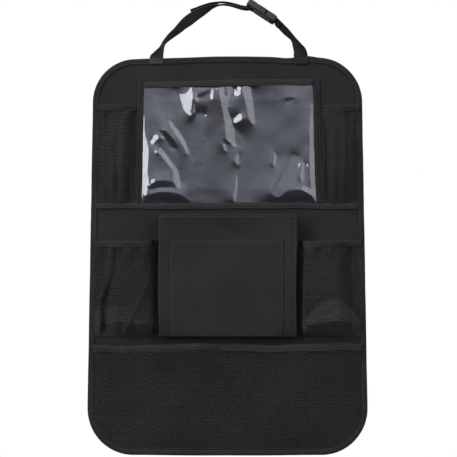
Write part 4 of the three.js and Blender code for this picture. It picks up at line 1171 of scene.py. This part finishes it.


# A darker copy of the net yarn for the bottom net: painted shade for the dimmer lower part of the
# organizer.
shaded_bottom_yarn = woven_material("shaded_bottom_yarn", (0.0245, 0.0245, 0.0255), *YARN_WEAVE)
for side, word in ((-1, "left"), (1, "right")):
    place, cut = lower_half_net(side)
    knit(f"bottom_net_{word}", "lower_net", LOWER_REACH, lower_run[-1], place, cut,
         yarn=shaded_bottom_yarn)
left, right, _, _ = edges_of("lower_hem")
hem("bottom_hem_tape", "lower_hem", 5.0, (left - BINDING_TUCK, right + BINDING_TUCK), 9.0,
    rows=(-0.35, -0.8), waver=1.1, droop=2.5)
MIDDLE_SEAM_DEPTH = -4.3
z = np.linspace(NET_FLOOR + 2, NET_MOUTH - 10, 60)
sew(np.stack([np.zeros_like(z), np.full_like(z, MIDDLE_SEAM_DEPTH), z], axis=1))


# Headrest strap
# Ribbed 20 mm polypropylene webbing in two lengths, sewn on the binding at their feet. The long
# one goes through the plug's ladder, and its loose end lies back over it; the short one is looped
# round the socket's bar.
# Both straps are the same webbing. The long one is painted lighter than the short one: painted
# light where it catches the light.
LIT_LONG_BLACK = (0.047, 0.047, 0.0475)
SHORT_BLACK = (0.019, 0.019, 0.0195)
WEBBING_HALF = 10.0
WEBBING_THICKNESS = 1.1
WEBBING_STEP = 0.9
PANEL_TOP = PANEL_HALF_HEIGHT
LEFT_FOOT, RIGHT_FOOT = -101.2, 104.5
FOOT_DEPTH = -4.85
FOOT_Z = 273.5
BUCKLE_PLACE = np.array([40.2, -10.0, PANEL_TOP + 67.4])
BUCKLE_TILT = math.radians(33)
BUCKLE_ROLL = 83.0
LADDER_NEAR = -3.7
LADDER_FAR = -9.6
OVER_BAR = 1.5
TAIL_GAP = 0.6
TAIL_SLACK = 1.9
TAIL_CURL = 1.0
TAIL_SHIFT = 3.2
SOCKET_SLOT = 28.25
SOCKET_LOOP = 31.0
SOCKET_EXIT = 34.0
SOCKET_WRAP = 2.7


def webbing_material(name, colour):
    """Ribs 2.7 mm apart along the webbing, in bunches of warp 1.5 mm wide across it."""
    made, tree, shader = new_material(name, Roughness=0.75, Specular_IOR_Level=0.1)
    lay = add_node(tree, "ShaderNodeAttribute")
    lay.attribute_name = "lay"
    spot = add_node(tree, "ShaderNodeSeparateXYZ")
    tree.links.new(lay.outputs["Vector"], spot.inputs[0])
    ribs = number_node(tree, "SINE", number_node(tree, "MULTIPLY", spot.outputs["Z"], 2300))
    warp = number_node(tree, "SINE", number_node(tree, "MULTIPLY", spot.outputs["X"], 4200))
    ribbing = number_node(tree, "MULTIPLY_ADD", warp, 0.5, ribs)
    level = number_node(tree, "MULTIPLY_ADD", ribbing, 0.33, 0.5)
    # The colour follows the ribbing as well, darker in the furrows and lighter on the ribs:
    # painted shade and painted highlight.
    shade_by(tree, shader, level, colour, gains=(0.45, 1.55))
    raise_by(tree, shader, ribbing, 0.7, 0.3 * MM)
    return made


lit_long_webbing = webbing_material("lit_long_webbing", LIT_LONG_BLACK)
short_webbing = webbing_material("short_webbing", SHORT_BLACK)


def web_across(heading, twist):
    """Across the webbing: level where it has no twist, and edge on to the front at 90 degrees."""
    level = unit(np.stack([heading[..., 2], 0 * heading[..., 0], -heading[..., 0]], axis=-1))
    turn = np.radians(twist)[..., None]
    return level * np.cos(turn) + np.array([0, 1, 0]) * np.sin(turn)


def strap_line(route, count):
    """Places and crosswise directions of webbing on a smooth curve through rows of x, y, height
    over the panel's top and twist."""
    route = np.array(route, float)
    route[:, 2] += PANEL_TOP
    rows = np.concatenate([[2 * route[0] - route[1]], route, [2 * route[-1] - route[-2]]])
    gaps = np.linalg.norm(np.diff(rows[:, :3], axis=0), axis=1) ** 0.5
    knots = np.concatenate([[0], np.cumsum(gaps)])
    line = []
    for share in np.linspace(0, len(route) - 1, count + 1):
        k = min(int(share), len(route) - 2) + 1
        times = knots[k - 1:k + 3]
        t = times[1] + (share - k + 1) * (times[2] - times[1])

        def between(i, j, first, last):
            return ((times[j] - t) * first + (t - times[i]) * last) / (times[j] - times[i])

        near = list(rows[k - 1:k + 3])
        for span in (1, 2):
            near = [between(i, i + span, *near[i:i + 2]) for i in range(len(near) - 1)]
        line.append(between(1, 2, *near))
    line = np.array(line)
    places = line[:, :3]
    heading = unit(np.gradient(places, axis=0))
    upright = np.stack([0 * heading[:, 0], 0 * heading[:, 0], np.sign(heading[:, 2])], axis=1)
    share = np.clip((places[:, 2] - PANEL_TOP + 1) / (2 * WEBBING_HALF), 0, 1)
    share = (share * share * (3 - 2 * share))[:, None]
    heading = heading * share + upright * (1 - share)
    return places, web_across(heading, line[:, 3])


def layer_on(places, across, gap):
    """A second layer of webbing lying on the first, at a gap in mm."""
    return places + np.cross(unit(np.gradient(places, axis=0)), across) * gap[:, None]


def sew_down(places, foot_z):
    """Lays webbing's low end flat on the front of the binding."""
    places = places.copy()
    places[:, 1] = np.minimum(places[:, 1], FOOT_DEPTH)
    foot = places[:1] if places[0, 2] < places[-1, 2] else places[-1:]
    ends = [foot * (1, 1, 0) + (0, 0, z) for z in (foot_z, (foot_z + foot[0, 2]) / 2)]
    return places, np.concatenate(ends)


def ribbon(name, node, places, across, cloth, body):
    """Webbing along places in mm, with rounded selvedges, and its own length to lay ribs by."""
    run = run_along(places)
    even = np.linspace(0, run[-1], int(run[-1] / WEBBING_STEP))
    places, across = (np.stack([np.interp(even, run, rows[:, k]) for k in range(3)], axis=1)
                      for rows in (places, across))
    places = smoothed(places, 2)
    way = unit(np.gradient(places, axis=0))
    across = unit(across - way * (across * way).sum(1, keepdims=True))
    out = np.cross(way, across)
    half = WEBBING_THICKNESS / 2
    section = [(-1, 0), (-0.985, 0.7), (-0.94, 1.0), (-0.86, 0.86), (-0.5, 0.92), (0, 0.95),
               (0.5, 0.92), (0.86, 0.86), (0.94, 1.0), (0.985, 0.7), (1, 0)]
    section += [(u, -v) for u, v in section[-2:0:-1]]
    ring = np.stack([places + across * (u * WEBBING_HALF) + out * (v * half)
                     for u, v in section], axis=1)
    lay = np.stack([np.stack([np.full_like(even, u * WEBBING_HALF),
                              np.full_like(even, v * half), even], axis=1)
                    for u, v in section], axis=1)
    made = add_mesh(name, ring.reshape(-1, 3) * MM, cord_faces(*ring.shape[:2]), cloth,
                    lay=lay.reshape(-1, 3) * MM, body=body)
    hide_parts(node)
    return made


buckle_along = np.array([math.cos(BUCKLE_TILT), 0, -math.sin(BUCKLE_TILT)])
buckle_across = web_across(buckle_along, np.array(BUCKLE_ROLL))
buckle_out = np.cross(buckle_along, buckle_across)


def on_buckle(u, n):
    """A place in mm along the buckle's axis and out from its middle plane."""
    return BUCKLE_PLACE + buckle_along * u + buckle_out * n


# The routes give x, y, the height over the panel's top and the twist in degrees.
left_route = [
    (LEFT_FOOT, -4.8, -4, 0), (-98.7, -5.5, 0.5, 36), (-96.2, -5.5, 5.8, 58),
    (-93.4, -5.8, 11.5, 74), (-90.6, -6, 18, 79), (-81.5, -6.8, 27.5, 70),
    (-71.1, -7.6, 36.2, 62), (-63.6, -8.2, 43.4, 53), (-56, -8.7, 49.5, 45),
    (-48, -9.2, 55.4, 47), (-40.4, -9.5, 60, 54), (-32, -9.7, 64.6, 63),
    (-22.4, -9.9, 69.2, 78), (-12.1, -10, 71.8, 90), (-3.6, -10, 72.2, 90),
    (7.4, -10, 70.6, 87), (18.2, -10, 67.6, 84), (26.5, -10, 66.1, 83),
]
LEFT_STEPS = 176
TAIL_SHARE = 0.53
places, across = strap_line(left_route, LEFT_STEPS)
start = int(LEFT_STEPS * TAIL_SHARE)
share = np.linspace(0, 1, LEFT_STEPS + 1 - start)
slack = TAIL_SLACK * np.sin(math.pi * (0.9 - 0.8 * share)) ** 4
slack += TAIL_CURL * np.exp(-share / 0.1)
tail = layer_on(places[start:], across[start:], WEBBING_THICKNESS + TAIL_GAP + slack)
tail -= across[start:] * TAIL_SHIFT * np.exp(-share / 0.3)[:, None]
threaded = np.array([on_buckle(u, n) for u, n in (
    (LADDER_NEAR, -3.6), (LADDER_NEAR, OVER_BAR), (LADDER_FAR, OVER_BAR), (LADDER_FAR, -1.8))])
places, foot = sew_down(places, FOOT_Z)
line = np.concatenate([foot, places, threaded, tail[::-1]])
sides = np.concatenate([across[:1], across[:1], across, np.tile(buckle_across, (4, 1)),
                        across[start:][::-1]])
left_webbing = ribbon("strap_long", "strap_left", line, sides, lit_long_webbing, None)

right_start = on_buckle(SOCKET_EXIT, 0.9)
right_route = [
    (right_start[0], right_start[1], right_start[2] - PANEL_TOP, 72), (77.0, -9.8, 40.6, 66),
    (84.8, -9, 32.6, 67), (93.2, -8, 24.2, 73), (97.6, -6.8, 17.6, 62),
    (100.8, -5.6, 11.4, 45), (103.3, -5.5, 5.5, 22), (RIGHT_FOOT, -3.9, -1, 0),
]
RIGHT_STEPS = 104
TURNED_STEPS = 12
TURNED_GAP = -1.25
places, across = strap_line(right_route, RIGHT_STEPS)
tail = layer_on(places[:TURNED_STEPS], across[:TURNED_STEPS], np.full(TURNED_STEPS, TURNED_GAP))
wrapped = np.array([on_buckle(u, n) for u, n in (
    (SOCKET_LOOP, -SOCKET_WRAP), (SOCKET_SLOT, -SOCKET_WRAP), (SOCKET_SLOT, SOCKET_WRAP),
    (SOCKET_LOOP, SOCKET_WRAP))])
places, foot = sew_down(places, FOOT_Z)
line = np.concatenate([tail[::-1], wrapped, places, foot[::-1]])
sides = np.concatenate([across[:TURNED_STEPS][::-1], np.tile(buckle_across, (4, 1)), across,
                        across[-1:], across[-1:]])
ribbon("strap_short", "strap_right", line, sides, short_webbing, BODY)

BOX_HALF = 8.2
BOX_LOW, BOX_HIGH = 275.2, 281.5
BOX_DEPTH = FOOT_DEPTH - 0.6
for x in (LEFT_FOOT, RIGHT_FOOT):
    corners = ((-BOX_HALF, BOX_LOW), (BOX_HALF, BOX_LOW), (BOX_HALF, BOX_HIGH),
               (-BOX_HALF, BOX_HIGH), (-BOX_HALF, BOX_LOW))
    sew([(x + aside, BOX_DEPTH, z) for aside, z in corners], pitch=2.4)
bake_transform(left_webbing)


# Buckle
# The two moulded halves come from CAD. They are satin black acetal, with the soft grain that its
# mould leaves and rounded edges.
EDGE_ROUND = 0.35
SHARP_ANGLE = 50
plastic, tree, shader = new_material(
    "satin_acetal", Base_Color=(0.010, 0.010, 0.0104, 1), Roughness=0.46, Specular_IOR_Level=0.42)
grain = add_node(tree, "ShaderNodeTexNoise", Scale=2600)
spot = add_node(tree, "ShaderNodeTexCoord")
tree.links.new(spot.outputs["Object"], grain.inputs["Vector"])
raise_by(tree, shader, grain.outputs[0], 0.25, 0.1 * MM)
for node in ("buckle_socket", "buckle_plug"):
    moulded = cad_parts[node]
    moulded.data.materials.clear()
    moulded.data.materials.append(plastic)
    rounded = moulded.modifiers.new("rounded", "BEVEL")
    rounded.width = EDGE_ROUND * MM
    rounded.segments = 2
    rounded.limit_method = "ANGLE"
    rounded.angle_limit = math.radians(SHARP_ANGLE)

# every stitch of the organizer, as one piece
add_mesh("seam_thread", np.array(stitch_points) * MM, stitch_faces, thread)
